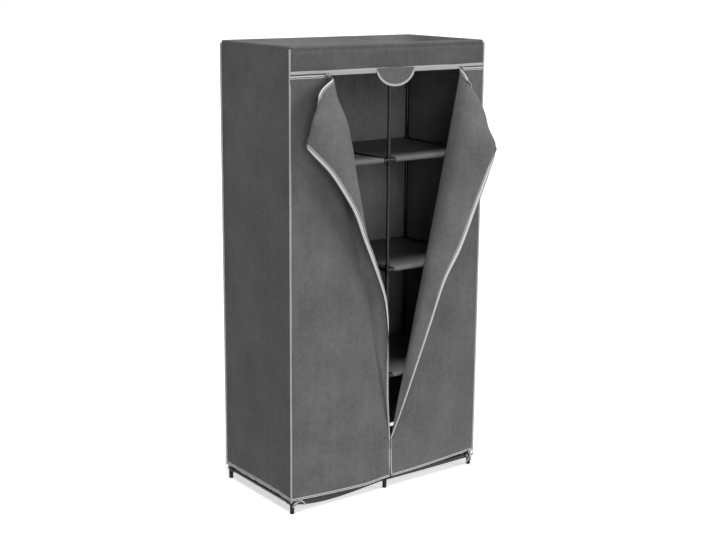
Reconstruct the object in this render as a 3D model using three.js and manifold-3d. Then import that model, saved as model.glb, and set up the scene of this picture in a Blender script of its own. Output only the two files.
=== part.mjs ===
// Portable fabric wardrobe: a plug-together tube frame in two bays under a zipped cloth cover,
// shown with its front unzipped and both door flaps turned back.
// Millimetres, +Z up, X across the front, -Y towards the person who opens it.
import * as THREE from 'three';
import { mergeVertices } from 'three/addons/utils/BufferGeometryUtils.js';
import Module from 'manifold-3d';

const wasm = await Module();
wasm.setup();

// Driving dimensions of the cover
const coverWidth = 880;
const coverDepth = 450;
const coverHeight = 1700;
const clothThickness = 1.5;
const clearance = 0.3;

// The frame's tubes and plug connectors
const tubeRadius = 6.5;
const tubeWall = 1;
const socketRadius = 8.5;
const socketReach = 27;
const socketDepth = 16;
const sleeveHalfLength = 22;
const footChamfer = 1.5;
const railHeight = 38;
const roundSides = 10;
const outlineSteps = 6;
const cutOverrun = 2;

// Shelf cloth and the sleeves that thread over the rails
const shelfCloth = 1.2;
const shelfSag = 5;
const floorSag = 12;
const sleeveDepth = 20;
const sleeveSlack = 0.8;
const leftSleeveDroop = 15;
const rightSleeveDroop = 4;

// The hanging rod and its end clips
const rodDrop = 32;
const clipLength = 14;
const clipNeck = 4;

// The door opening in the front: the zips run up its middle and out along its top
const zipX = 18;
const zipDrop = 99;
const coilWidth = 5;
const coilRise = 0.8;
const leftFixedWidth = 165;
const rightFixedWidth = 117;
const openingBottom = 188;
const hemHeight = 62;
const hemDip = 18;
const topPanelSag = 26;

// The folded seams where a flap or the tab bends away from its panel
const foldGap = 1.2;

// The half-round tab over the meeting point of the zips
const tabWidth = 176;
const tabDrop = 58;

// Zip sliders with their pulls
const sliderLength = 13;
const sliderWidth = 9;
const sliderHeight = 3;
const sliderSetback = 6;
const bridgeLength = 7;
const bridgeWidth = 2.4;
const bridgeHeight = 1.6;
const pullLength = 24;
const pullWidth = 5;
const pullThickness = 1.4;

// Ribbon ties that hold the hem to the frame
const ribbonWidth = 5;
const ribbonThickness = 1.2;
const bowReach = 24;
const bowHeight = 9;
const longTail = 20;
const shortTail = 16;
const tailSpread = 9;
const tailSplit = 4.5;
const strapRise = 34;

// Places that follow from the sizes above
const halfWidth = coverWidth / 2;
const halfDepth = coverDepth / 2;
const openingLeftX = leftFixedWidth - halfWidth;
const openingRightX = halfWidth - rightFixedWidth;
const zipHeight = coverHeight - zipDrop;
const postX = halfWidth - clothThickness - clearance - socketRadius;
const postY = halfDepth - clothThickness - clearance - socketRadius;
const topLevel = coverHeight - clothThickness - clearance - socketRadius;
const levelPitch = (topLevel - railHeight) / 4;
const levels = [0, 1, 2, 3, 4].map((step) => railHeight + step * levelPitch);
const [floorLevel, lowerLevel, middleLevel, hatLevel] = levels;
const seatRadius = tubeRadius + clearance;
const railInset = socketReach - socketDepth + clearance;
const panelTop = coverHeight - clothThickness - clearance;
const clothMiddle = halfDepth - clothThickness / 2;
const valanceBottom = zipHeight + coilWidth / 2;
const doorTop = zipHeight - coilWidth / 2 - clearance;

// Materials
const blackPaint = new THREE.MeshStandardMaterial({ color: 0x141416, roughness: 0.35, metalness: 0.2 });
const greyCloth = new THREE.MeshStandardMaterial({ color: 0x5b5b5c, roughness: 0.95 });
const shelfFabric = new THREE.MeshStandardMaterial({ color: 0x4e4e50, roughness: 0.95 });
const paleRibbon = new THREE.MeshStandardMaterial({ color: 0xb4b4b6, roughness: 0.85 });
const zipGrey = new THREE.MeshStandardMaterial({ color: 0x333335, roughness: 0.5 });
const sliderMetal = new THREE.MeshStandardMaterial({ color: 0x8d8d90, roughness: 0.35, metalness: 0.9 });

const wardrobe = new THREE.Group();
const frame = new THREE.Group();
const cover = new THREE.Group();
const doors = new THREE.Group();
wardrobe.add(frame, cover, doors);

function addPiece(group, name, geometry, material) {
  const mesh = new THREE.Mesh(geometry, material);
  mesh.name = name;
  group.add(mesh);
  return mesh;
}

// Six times the signed volume of a triangle mesh, which is negative when its faces point inwards.
function signedVolume(positions, triangles) {
  const corner = (index) => new THREE.Vector3().fromArray(positions, 3 * index);
  let total = 0;
  for (let face = 0; face < triangles.length; face += 3) {
    const [a, b, c] = [0, 1, 2].map((step) => corner(triangles[face + step]));
    total += a.dot(b.cross(c));
  }
  return total;
}

// A closed geometry with shared corners and its faces pointing out.
function closedGeometry(source) {
  const bare = source.clone();
  bare.deleteAttribute('normal');
  bare.deleteAttribute('uv');
  const merged = mergeVertices(bare);
  const triangles = Array.from(merged.index.array);
  if (signedVolume(merged.attributes.position.array, triangles) < 0) {
    triangles.reverse();
    merged.setIndex(triangles);
  }
  return merged;
}

function solidOf(geometry) {
  const merged = closedGeometry(geometry);
  const vertProperties = Float32Array.from(merged.attributes.position.array);
  const triVerts = Uint32Array.from(merged.index.array);
  return new wasm.Manifold(new wasm.Mesh({ numProp: 3, vertProperties, triVerts }));
}

function geometryOf(solid) {
  const mesh = solid.getMesh();
  const geometry = new THREE.BufferGeometry();
  geometry.setAttribute('position', new THREE.BufferAttribute(Float32Array.from(mesh.vertProperties), 3));
  geometry.setIndex(new THREE.BufferAttribute(Uint32Array.from(mesh.triVerts), 1));
  return geometry;
}

// A plain round bar that runs from one distance to another along a direction from the origin.
function barGeometry(radius, from, to, direction) {
  const bar = new THREE.CylinderGeometry(radius, radius, to - from, roundSides);
  bar.translate(0, (from + to) / 2, 0);
  const turn = new THREE.Quaternion().setFromUnitVectors(new THREE.Vector3(0, 1, 0), direction);
  return bar.applyQuaternion(turn);
}

// A hollow tube between two distances along a direction from the origin.
function tubeSolid(outerRadius, innerRadius, from, to, direction) {
  const core = barGeometry(innerRadius, from - cutOverrun, to + cutOverrun, direction);
  return solidOf(barGeometry(outerRadius, from, to, direction)).subtract(solidOf(core));
}

// A plate cut to an outline in the XZ plane, from y = back to y = front.
function plateGeometry(outline, back, front) {
  const plate = new THREE.ExtrudeGeometry(outline, {
    depth: back - front, curveSegments: outlineSteps, bevelEnabled: false,
  });
  return plate.rotateX(Math.PI / 2).translate(0, back, 0);
}

// A sheet of cloth as a closed thin solid. grid holds rows of points on its middle surface.
function clothGeometry(grid, thickness) {
  const rowCount = grid.length;
  const columnCount = grid[0].length;
  const clampedPoint = (row, column) => {
    const safeRow = THREE.MathUtils.clamp(row, 0, rowCount - 1);
    const safeColumn = THREE.MathUtils.clamp(column, 0, columnCount - 1);
    return grid[safeRow][safeColumn];
  };
  const positions = [];
  for (const side of [1, -1]) {
    for (let row = 0; row < rowCount; row += 1) {
      for (let column = 0; column < columnCount; column += 1) {
        const along = clampedPoint(row, column + 1).clone().sub(clampedPoint(row, column - 1));
        const across = clampedPoint(row + 1, column).clone().sub(clampedPoint(row - 1, column));
        const normal = along.cross(across).normalize();
        positions.push(...grid[row][column].clone().addScaledVector(normal, side * thickness / 2));
      }
    }
  }
  const backStart = rowCount * columnCount;
  const triangles = [];
  const addQuad = (a, b, c, d) => triangles.push(a, b, c, a, c, d);
  const index = (row, column) => row * columnCount + column;
  for (let row = 0; row < rowCount - 1; row += 1) {
    for (let column = 0; column < columnCount - 1; column += 1) {
      const [near, beside] = [index(row, column), index(row, column + 1)];
      const [far, below] = [index(row + 1, column + 1), index(row + 1, column)];
      addQuad(near, beside, far, below);
      addQuad(near + backStart, below + backStart, far + backStart, beside + backStart);
    }
  }
  const rim = [];
  for (let column = 0; column < columnCount - 1; column += 1) rim.push(index(0, column));
  for (let row = 0; row < rowCount - 1; row += 1) rim.push(index(row, columnCount - 1));
  for (let column = columnCount - 1; column > 0; column -= 1) rim.push(index(rowCount - 1, column));
  for (let row = rowCount - 1; row > 0; row -= 1) rim.push(index(row, 0));
  rim.forEach((corner, place) => {
    const next = rim[(place + 1) % rim.length];
    addQuad(next, corner, corner + backStart, next + backStart);
  });
  const geometry = new THREE.BufferGeometry();
  geometry.setAttribute('position', new THREE.Float32BufferAttribute(positions, 3));
  geometry.setIndex(triangles);
  return closedGeometry(geometry);
}

// The frame: six posts in a grid of three columns and two rows. Each post is a tube with a foot,
// straight joiners and plug sockets, and each bay's rails seat in the sockets.
const columns = [
  { name: 'left', x: -postX, plugs: [1] },
  { name: 'center', x: 0, plugs: [-1, 1] },
  { name: 'right', x: postX, plugs: [-1] },
];
const rows = [
  { name: 'front', y: -postY, inward: 1 },
  { name: 'back', y: postY, inward: -1 },
];

// Every level has rails in the right bay. The left bay has none at the two lower shelves.
const levelNames = ['bottom', 'lower', 'middle', 'hat', 'top'];
const rightBayOnly = ['lower', 'middle'];
const bayHasLevel = (bay, level) => bay === 'right' || !rightBayOnly.includes(level);

function postProfile() {
  const points = [[0, 0], [socketRadius - footChamfer, 0], [socketRadius, footChamfer]];
  levels.slice(0, -1).forEach((level, step) => {
    const sleeveBottom = level - sleeveHalfLength;
    if (step > 0) points.push([tubeRadius, sleeveBottom], [socketRadius, sleeveBottom]);
    points.push([socketRadius, level + sleeveHalfLength], [tubeRadius, level + sleeveHalfLength]);
  });
  points.push([tubeRadius, topLevel - sleeveHalfLength], [socketRadius, topLevel - sleeveHalfLength]);
  points.push([socketRadius, topLevel + socketRadius - footChamfer]);
  points.push([socketRadius - footChamfer, topLevel + socketRadius], [0, topLevel + socketRadius]);
  return points.map(([radius, height]) => new THREE.Vector2(radius, height));
}

function socketDirections(column, row, level) {
  const directions = column.plugs
    .filter((sign) => bayHasLevel(column.x + sign < 0 ? 'left' : 'right', level))
    .map((sign) => new THREE.Vector3(sign, 0, 0));
  const hasSideRail = column.name !== 'left' || bayHasLevel('left', level);
  if (hasSideRail) directions.push(new THREE.Vector3(0, row.inward, 0));
  return directions;
}

function postGeometry(column, row) {
  let post = solidOf(new THREE.LatheGeometry(postProfile(), roundSides).rotateX(Math.PI / 2));
  levelNames.forEach((level, step) => {
    for (const direction of socketDirections(column, row, level)) {
      const arm = barGeometry(socketRadius, 0, socketReach, direction);
      post = post.add(solidOf(arm.translate(0, 0, levels[step])));
    }
  });
  levelNames.forEach((level, step) => {
    for (const direction of socketDirections(column, row, level)) {
      const bore = barGeometry(seatRadius, socketReach - socketDepth, socketReach + cutOverrun, direction);
      post = post.subtract(solidOf(bore.translate(0, 0, levels[step])));
    }
  });
  return geometryOf(post);
}

for (const row of rows) {
  for (const column of columns) {
    const name = `post_${row.name}_${column.name}`;
    const post = addPiece(frame, name, postGeometry(column, row), blackPaint);
    post.position.set(column.x, row.y, 0);
  }
}

// Rails along X join the posts of one row, and rails along Y join the two rows.
const alongX = new THREE.Vector3(1, 0, 0);
const alongY = new THREE.Vector3(0, 1, 0);

function railGeometry(postGap, direction) {
  const rail = tubeSolid(tubeRadius, tubeRadius - tubeWall, railInset, postGap - railInset, direction);
  return geometryOf(rail);
}

levelNames.forEach((level, step) => {
  for (const row of rows) {
    for (const [bay, startX] of [['left', -postX], ['right', 0]]) {
      if (!bayHasLevel(bay, level)) continue;
      const name = `rail_${level}_${row.name}_${bay}`;
      const rail = addPiece(frame, name, railGeometry(postX, alongX), blackPaint);
      rail.position.set(startX, row.y, levels[step]);
    }
  }
  for (const column of columns) {
    if (column.name === 'left' && !bayHasLevel('left', level)) continue;
    const name = `rail_${level}_side_${column.name}`;
    const rail = addPiece(frame, name, railGeometry(2 * postY, alongY), blackPaint);
    rail.position.set(column.x, -postY, levels[step]);
  }
});

// The hanging rod hooks over the side rails under the left hat shelf.
function clipGeometry(inward) {
  const hook = new THREE.Shape();
  hook.absarc(0, 0, socketRadius, 0, Math.PI);
  hook.absarc(0, 0, seatRadius, Math.PI, 0, true);
  hook.closePath();
  const hookPlate = solidOf(plateGeometry(hook, clipLength / 2, -clipLength / 2));
  const neckTop = clipNeck / 2;
  const neckBottom = -rodDrop - socketRadius;
  const neck = new THREE.BoxGeometry(clipNeck, clipLength, neckTop - neckBottom);
  neck.translate(inward * (seatRadius + clipNeck / 2), 0, (neckTop + neckBottom) / 2);
  return hookPlate.add(solidOf(neck));
}

function rodGeometry() {
  const rodStart = -postX + seatRadius;
  const rod = solidOf(barGeometry(tubeRadius, rodStart, -seatRadius, alongX));
  const leftClip = clipGeometry(1).translate([-postX, 0, 0]);
  const centerClip = clipGeometry(-1);
  return geometryOf(rod.translate([0, 0, -rodDrop]).add(leftClip).add(centerClip));
}
addPiece(frame, 'hanging_rod', rodGeometry(), blackPaint).position.set(0, 0, hatLevel);

// A shelf cloth lies over its two rails and turns back under each of them as a sewn sleeve.
const sleeveTurnSteps = 8;
const sleeveStart = -Math.PI / 4;
const sleeveSweep = 1.25 * Math.PI;
const sheetSteps = 6;

// The side view of a shelf as points from the front seam to the back seam, at y and z.
function shelfSection(sag, droop) {
  const turnRadius = tubeRadius + sleeveSlack + shelfCloth / 2;
  const sheetHeight = (y) => turnRadius - sag * (1 - (y / postY) ** 2);
  const seamY = -postY + sleeveDepth;
  const frontHalf = [[seamY, sheetHeight(seamY) - shelfCloth - clearance]];
  for (let step = 0; step <= sleeveTurnSteps; step += 1) {
    const angle = sleeveStart - sleeveSweep * step / sleeveTurnSteps;
    const hang = droop * Math.max(0, -Math.sin(angle));
    frontHalf.push([-postY + turnRadius * Math.cos(angle), turnRadius * Math.sin(angle) - hang]);
  }
  const middle = [];
  for (let step = 1; step < sheetSteps; step += 1) {
    const y = -postY + 2 * postY * step / sheetSteps;
    middle.push([y, sheetHeight(y)]);
  }
  const backHalf = frontHalf.map(([y, z]) => [-y, z]).reverse();
  return [...frontHalf, ...middle, ...backHalf];
}

// droopPeakShare is how far along the shelf its loose sleeve hangs lowest.
function shelfGeometry(startX, endX, sag, droop, droopPeakShare, stations) {
  const grid = [];
  for (let station = 0; station <= stations; station += 1) {
    const share = station / stations;
    const bend = Math.log(0.5) / Math.log(droopPeakShare);
    const hang = droop * Math.sin(Math.PI * share ** bend);
    const x = startX + (endX - startX) * share;
    grid.push(shelfSection(sag, hang).map(([y, z]) => new THREE.Vector3(x, y, z)));
  }
  return clothGeometry(grid, shelfCloth);
}

const middleShare = 0.5;
const leftDroopShare = 0.4;
const floorStations = 6;
const shelfEndGap = socketReach + clearance;
const bays = {
  left: [-postX + shelfEndGap, -shelfEndGap],
  right: [shelfEndGap, postX - shelfEndGap],
};
const shelves = [
  { name: 'floor_panel_left', bay: 'left', height: floorLevel, sag: floorSag, droop: leftSleeveDroop,
    peakShare: leftDroopShare, stations: floorStations },
  { name: 'floor_panel_right', bay: 'right', height: floorLevel, sag: floorSag, droop: rightSleeveDroop,
    peakShare: middleShare, stations: floorStations },
  { name: 'shelf_lower', bay: 'right', height: lowerLevel },
  { name: 'shelf_middle', bay: 'right', height: middleLevel },
  { name: 'hat_shelf_left', bay: 'left', height: hatLevel },
  { name: 'hat_shelf_right', bay: 'right', height: hatLevel },
];
for (const shelf of shelves) {
  const { sag = shelfSag, droop = 0, peakShare = middleShare, stations = 1 } = shelf;
  const cloth = shelfGeometry(...bays[shelf.bay], sag, droop, peakShare, stations);
  addPiece(frame, shelf.name, cloth, shelfFabric).position.set(0, 0, shelf.height);
}

// The cover's lower edge dips between the corners, front and back.
const hemAt = (x) => hemHeight - hemDip * Math.cos(Math.PI * x / coverWidth);
const hemSteps = 10;

// Adds the hem from one x to another to an outline.
function traceHem(outline, fromX, toX) {
  for (let step = 0; step <= hemSteps; step += 1) {
    const x = fromX + (toX - fromX) * step / hemSteps;
    outline.lineTo(x, hemAt(x));
  }
}

// The roof of the cover lies on the top rails and sags between them like a tray in each bay.
const roofBaySteps = 6;
const roofDepthSteps = 6;
const trayShare = 0.6;

// Places across one sagging field, each with its share of the way over it.
function fieldPlaces(from, to, steps) {
  return Array.from({ length: steps + 1 }, (_, step) => {
    const share = step / steps;
    return { at: from + (to - from) * share, depth: Math.sin(Math.PI * share) ** trayShare };
  });
}

function topPanelGeometry() {
  const bayStart = socketRadius;
  const bayEnd = postX - socketRadius;
  const edge = (at) => ({ at, depth: 0 });
  const across = [edge(-halfWidth), ...fieldPlaces(-bayEnd, -bayStart, roofBaySteps)];
  across.push(...fieldPlaces(bayStart, bayEnd, roofBaySteps), edge(halfWidth));
  const fieldHalf = postY - socketRadius;
  const along = [edge(-halfDepth), ...fieldPlaces(-fieldHalf, fieldHalf, roofDepthSteps), edge(halfDepth)];
  const top = coverHeight - clothThickness / 2;
  const grid = along.map((y) => across.map((x) => {
    const dip = x.depth * y.depth;
    return new THREE.Vector3(x.at, y.at, top - topPanelSag * dip);
  }));
  return clothGeometry(grid, clothThickness);
}
addPiece(cover, 'cover_top_panel', topPanelGeometry(), greyCloth);

// Side panels fit between the front and back panels.
const sideDepth = coverDepth - 2 * (clothThickness + clearance);
for (const [name, sign] of [['left', -1], ['right', 1]]) {
  const panel = new THREE.BoxGeometry(clothThickness, sideDepth, panelTop - hemHeight);
  const side = addPiece(cover, `cover_side_${name}`, panel, greyCloth);
  side.position.set(sign * (halfWidth - clothThickness / 2), 0, (panelTop + hemHeight) / 2);
}

function backOutline() {
  const outline = new THREE.Shape();
  outline.moveTo(-halfWidth, panelTop);
  traceHem(outline, -halfWidth, halfWidth);
  outline.lineTo(halfWidth, panelTop);
  outline.closePath();
  return outline;
}
const backPanel = plateGeometry(backOutline(), halfDepth, halfDepth - clothThickness);
addPiece(cover, 'cover_back_panel', backPanel, greyCloth);

// The valance carries the closed stretches of the top zips as a raised coil along its lower edge.
function valanceGeometry() {
  const band = new THREE.BoxGeometry(coverWidth, clothThickness, panelTop - valanceBottom);
  let valance = solidOf(band.translate(0, -clothMiddle, (panelTop + valanceBottom) / 2));
  const coilDepth = clothThickness + coilRise;
  const coilMiddle = -halfDepth + clothThickness - coilDepth / 2;
  for (const [fromX, toX] of [[-halfWidth, openingLeftX], [openingRightX, halfWidth]]) {
    const coil = new THREE.BoxGeometry(toX - fromX, coilDepth, coilWidth + clearance);
    coil.translate((fromX + toX) / 2, coilMiddle, zipHeight + clearance / 2);
    valance = valance.add(solidOf(coil));
  }
  return geometryOf(valance);
}
addPiece(cover, 'cover_valance', valanceGeometry(), greyCloth);

// The front panels stop short of the slanting fold line, where the flaps turn back.
function frontOutline(cornerX, openingX) {
  const side = Math.sign(cornerX);
  const zipEdge = zipX + side * (coilWidth / 2 + clearance);
  const slope = (openingX - zipX) / (zipHeight - openingBottom);
  const foldShift = side * foldGap * Math.hypot(1, slope);
  const foldX = (z) => zipX + slope * (z - openingBottom) + foldShift;
  const lowestFold = openingBottom + (zipEdge - zipX - foldShift) / slope;
  const outline = new THREE.Shape();
  outline.moveTo(cornerX, doorTop);
  traceHem(outline, cornerX, zipEdge);
  outline.lineTo(zipEdge, Math.max(lowestFold, openingBottom));
  outline.lineTo(foldX(doorTop), doorTop);
  outline.closePath();
  return outline;
}
function addFrontPanel(name, cornerX, openingX) {
  const panel = plateGeometry(frontOutline(cornerX, openingX), -halfDepth + clothThickness, -halfDepth);
  addPiece(cover, name, panel, greyCloth);
}
addFrontPanel('front_panel_left', -halfWidth, openingLeftX);
addFrontPanel('front_panel_right', halfWidth, openingRightX);

// The closed foot of the middle zip, from the hem up to the point where the flaps part.
const lowerCoilBottom = hemAt(zipX) + clearance;
const lowerCoilLength = openingBottom - lowerCoilBottom;
const lowerCoil = new THREE.BoxGeometry(coilWidth, clothThickness + coilRise, lowerCoilLength);
addPiece(cover, 'zip_middle_closed', lowerCoil, zipGrey).position.set(
  zipX,
  -clothMiddle - coilRise / 2,
  (openingBottom + lowerCoilBottom) / 2,
);

// A door flap is the triangle between its fold line, half the top zip and half the middle zip.
// Its free edge hangs forward of the panel and its top corner curls under.
// Each row of shares is: across the flap's width, out from the cover, and up the fold's height.
const leftEdgeShares = [
  [0, 0, 0], [0.08, 0.05, 0.126], [0.115, 0.08, 0.283], [0.155, 0.1, 0.354], [0.222, 0.125, 0.412],
  [0.31, 0.15, 0.469], [0.41, 0.17, 0.521], [0.545, 0.195, 0.583], [0.717, 0.215, 0.653],
  [0.925, 0.23, 0.708], [1.147, 0.23, 0.763], [1.46, 0.2, 0.838], [1.36, 0.12, 0.836], [1.22, 0.07, 0.845],
];
const rightEdgeShares = [
  [0, 0, 0], [0.118, 0.05, 0.074], [0.246, 0.12, 0.173], [0.466, 0.19, 0.322], [0.649, 0.245, 0.444],
  [0.856, 0.28, 0.522], [1.111, 0.305, 0.639], [1.292, 0.311, 0.725], [1.374, 0.305, 0.783],
  [1.22, 0.19, 0.805], [1.02, 0.06, 0.847],
];

// How the cloth leaves the fold line and how it reaches the free edge, by height share: sideways
// (positive away from the panel it belongs to), outwards and upwards.
const leftLeaveShares = [
  [0, 0.7, 0.7, 0], [0.3, 0.75, 0.66, 0], [0.5, 0.85, 0.52, 0], [0.7, 0.9, 0.43, 0],
  [0.86, 0.88, 0.45, 0], [0.94, 0.5, 0.8, -0.2], [1, -0.2, 0.85, -0.5],
];
const leftReachShares = [
  [0, -0.8, 0, 0], [0.34, -0.75, 0.1, 0], [0.44, -0.75, -0.2, 0], [0.51, -0.4, -0.6, 0.1],
  [0.58, 0.1, -0.7, 0.3], [0.66, 0.6, -0.3, 0.5], [0.75, 0.7, 0.2, 0.6], [0.84, 0.4, 0.6, 0.7],
  [0.92, -0.2, 0.4, 0.9], [1, -0.7, 0.3, 0.75],
];
const rightLeaveShares = [
  [0, 0.6, 0.8, 0], [0.4, 0.35, 0.93, 0], [0.9, 0.05, 0.98, -0.15], [1, -0.4, 0.8, -0.4],
];
const rightReachShares = [
  [0, 0.8, -0.2, 0], [0.4, 0.85, 0.1, 0.15], [0.7, 0.7, 0.4, 0.4], [0.82, 0.5, 0.5, 0.6],
  [0.9, 0, 0.5, 0.85], [1, -0.7, 0.4, 0.7],
];

// How much longer each row of cloth is than the straight way from fold to edge, by height share.
const leftSlackShares = [[0, 1.1], [0.5, 1.1], [0.6, 1.2], [0.72, 1.4], [0.82, 1.4], [1, 1.22]];
const rightSlackShares = [[0, 1.12], [0.6, 1.15], [0.85, 1.2], [1, 1.15]];

// The values of a table at a height share, between the two rows on either side of it.
function valuesAt(table, share) {
  const above = Math.max(1, table.findIndex(([height]) => height >= share));
  const [low, high] = [table[above - 1], table[above]];
  const mix = (share - low[0]) / (high[0] - low[0]);
  return low.slice(1).map((value, part) => THREE.MathUtils.lerp(value, high[part + 1], mix));
}

function directionAt(table, share, away) {
  const [sideways, out, up] = valuesAt(table, share);
  return new THREE.Vector3(away * sideways, -out, up).normalize();
}

// A curve of a set length from the fold to the free edge: its handles grow until it is long enough.
const handleHalvings = 24;

function flapRow(start, leave, end, reach, length) {
  const curveFor = (handle) => new THREE.CubicBezierCurve3(
    start,
    start.clone().addScaledVector(leave, handle),
    end.clone().addScaledVector(reach, handle),
    end,
  );
  let [short, long] = [0, 2 * length];
  for (let halving = 0; halving < handleHalvings; halving += 1) {
    const handle = (short + long) / 2;
    if (curveFor(handle).getLength() < length) short = handle;
    else long = handle;
  }
  return curveFor(short);
}

const flapRowCount = 22;
const flapColumnCount = 9;
const flapStartShare = 0.025;

function flapGeometry(openingX, edgeShares, leaveShares, reachShares, slackShares) {
  const away = Math.sign(zipX - openingX);
  const flapWidth = Math.abs(zipX - openingX);
  const foldHeight = zipHeight - openingBottom;
  const edgePoints = edgeShares.map(([across, out, up]) => new THREE.Vector3(
    zipX - away * across * flapWidth,
    -clothMiddle - out * flapWidth,
    openingBottom + up * foldHeight,
  ));
  const freeEdge = new THREE.CatmullRomCurve3(edgePoints, false, 'centripetal');
  const grid = [];
  for (let row = 0; row <= flapRowCount; row += 1) {
    const share = flapStartShare + (1 - flapStartShare) * row / flapRowCount;
    const fold = new THREE.Vector3(
      zipX - away * flapWidth * share,
      -clothMiddle,
      openingBottom + (doorTop - openingBottom) * share,
    );
    const leave = directionAt(leaveShares, share, away);
    const reach = directionAt(reachShares, share, away);
    const lift = leave.clone().setX(away * Math.max(0, away * leave.x)).setZ(0).normalize();
    const start = fold.addScaledVector(lift, foldGap);
    const end = freeEdge.getPointAt(share);
    const [slack] = valuesAt(slackShares, share);
    const line = flapRow(start, leave, end, reach, slack * start.distanceTo(end));
    grid.push(line.getSpacedPoints(flapColumnCount));
  }
  return clothGeometry(grid, clothThickness);
}
const leftShares = [leftEdgeShares, leftLeaveShares, leftReachShares, leftSlackShares];
const rightShares = [rightEdgeShares, rightLeaveShares, rightReachShares, rightSlackShares];
addPiece(doors, 'flap_left', flapGeometry(openingLeftX, ...leftShares), greyCloth);
addPiece(doors, 'flap_right', flapGeometry(openingRightX, ...rightShares), greyCloth);

// The half-round tab hangs from the valance over the top of the middle zip.
function tabOutline() {
  const outline = new THREE.Shape();
  outline.moveTo(-tabWidth / 2, 0);
  outline.absellipse(0, 0, tabWidth / 2, tabDrop, Math.PI, 2 * Math.PI, false, 0);
  outline.closePath();
  return outline;
}
const tab = plateGeometry(tabOutline(), -halfDepth + clothThickness, -halfDepth);
addPiece(doors, 'zip_tab', tab, greyCloth).position.set(zipX, 0, valanceBottom - clearance);

// A zip slider: a body with tapered shoulders, a bridge on its face and a pull that hangs down.
// The body is drawn with its wide mouth at +X and is then turned by mouthAngle.
function sliderGeometry(mouthAngle) {
  const body = new THREE.Shape();
  const noseShare = 0.35;
  body.moveTo(sliderLength / 2, sliderWidth / 2);
  body.lineTo(0, sliderWidth / 2);
  body.lineTo(-sliderLength / 2, noseShare * sliderWidth);
  body.lineTo(-sliderLength / 2, -noseShare * sliderWidth);
  body.lineTo(0, -sliderWidth / 2);
  body.lineTo(sliderLength / 2, -sliderWidth / 2);
  body.closePath();
  const bodyFront = -sliderHeight;
  const bridgeFront = bodyFront - bridgeHeight;
  const plate = plateGeometry(body, 0, bodyFront).rotateY(mouthAngle);
  const bridge = new THREE.BoxGeometry(bridgeLength, bridgeHeight + pullThickness, bridgeWidth);
  bridge.translate(0, bridgeFront + (bridgeHeight + pullThickness) / 2, 0).rotateY(mouthAngle);
  const pull = new THREE.Shape();
  pull.moveTo(-pullWidth / 2, 0);
  pull.lineTo(-pullWidth / 2, pullWidth / 2 - pullLength);
  pull.absarc(0, pullWidth / 2 - pullLength, pullWidth / 2, Math.PI, 2 * Math.PI);
  pull.lineTo(pullWidth / 2, 0);
  pull.closePath();
  const eye = new THREE.Path();
  eye.absarc(0, pullWidth - pullLength, pullWidth / 4, 0, 2 * Math.PI, true);
  pull.holes.push(eye);
  const pullPlate = plateGeometry(pull, bridgeFront, bridgeFront - pullThickness);
  const joined = solidOf(plate).add(solidOf(bridge)).add(solidOf(pullPlate));
  return geometryOf(joined);
}
function addSlider(name, x, z, mouthAngle) {
  const slider = addPiece(doors, name, sliderGeometry(mouthAngle), sliderMetal);
  slider.position.set(x, -halfDepth - coilRise - clearance, z);
}
const sliderReach = sliderSetback + sliderLength / 2;
addSlider('zip_slider_left', openingLeftX - sliderReach, zipHeight, 0);
addSlider('zip_slider_right', openingRightX + sliderReach, zipHeight, Math.PI);
addSlider('zip_slider_middle', zipX, openingBottom - sliderLength / 2, -Math.PI / 2);

// A ribbon tie: a strap down from the hem, a turn round the corner socket and a bow in front.
function tieGeometry() {
  const turnInner = socketRadius + clearance;
  const turnOuter = turnInner + ribbonThickness;
  const turn = tubeSolid(turnOuter, turnInner, 0, ribbonWidth, alongX);
  const strap = new THREE.BoxGeometry(ribbonWidth, ribbonThickness, strapRise);
  strap.translate(ribbonWidth / 2, -socketRadius + ribbonThickness / 2, (turnOuter + strapRise) / 2);
  const bow = new THREE.Shape();
  const knot = ribbonWidth / 2;
  bow.moveTo(0, knot);
  bow.quadraticCurveTo(bowReach / 2, bowHeight, bowReach, 0);
  bow.quadraticCurveTo(bowReach, -bowHeight, knot, -knot);
  bow.lineTo(tailSpread, -longTail);
  bow.lineTo(tailSplit, -longTail);
  bow.lineTo(0, -ribbonWidth);
  bow.lineTo(-tailSplit, -shortTail);
  bow.lineTo(-tailSpread, -shortTail);
  bow.lineTo(-knot, -knot);
  bow.quadraticCurveTo(-bowReach, -bowHeight, -bowReach, 0);
  bow.quadraticCurveTo(-bowReach / 2, bowHeight, 0, knot);
  const front = -turnOuter + ribbonThickness / 2;
  const bowPlate = plateGeometry(bow, front, front - ribbonThickness).translate(ribbonWidth / 2, 0, 0);
  return geometryOf(turn.add(solidOf(strap)).add(solidOf(bowPlate)));
}
for (const row of rows) {
  for (const column of [columns[0], columns[2]]) {
    const tie = addPiece(cover, `tie_${row.name}_${column.name}`, tieGeometry(), paleRibbon);
    const inward = column.plugs[0];
    tie.rotation.z = row.inward > 0 ? 0 : Math.PI;
    const nearCorner = socketRadius + ribbonWidth;
    tie.position.set(column.x + inward * nearCorner, row.y, railHeight);
  }
}

// The origin is on the floor under the middle of everything, flaps included.
const bounds = new THREE.Box3().setFromObject(wardrobe, true);
const middle = bounds.getCenter(new THREE.Vector3());
wardrobe.position.set(-middle.x, -middle.y, -bounds.min.z);
wardrobe.updateMatrixWorld(true);

export default wardrobe;
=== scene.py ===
import math

import bmesh
import bpy
import numpy as np
from mathutils import Matrix, Vector


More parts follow.
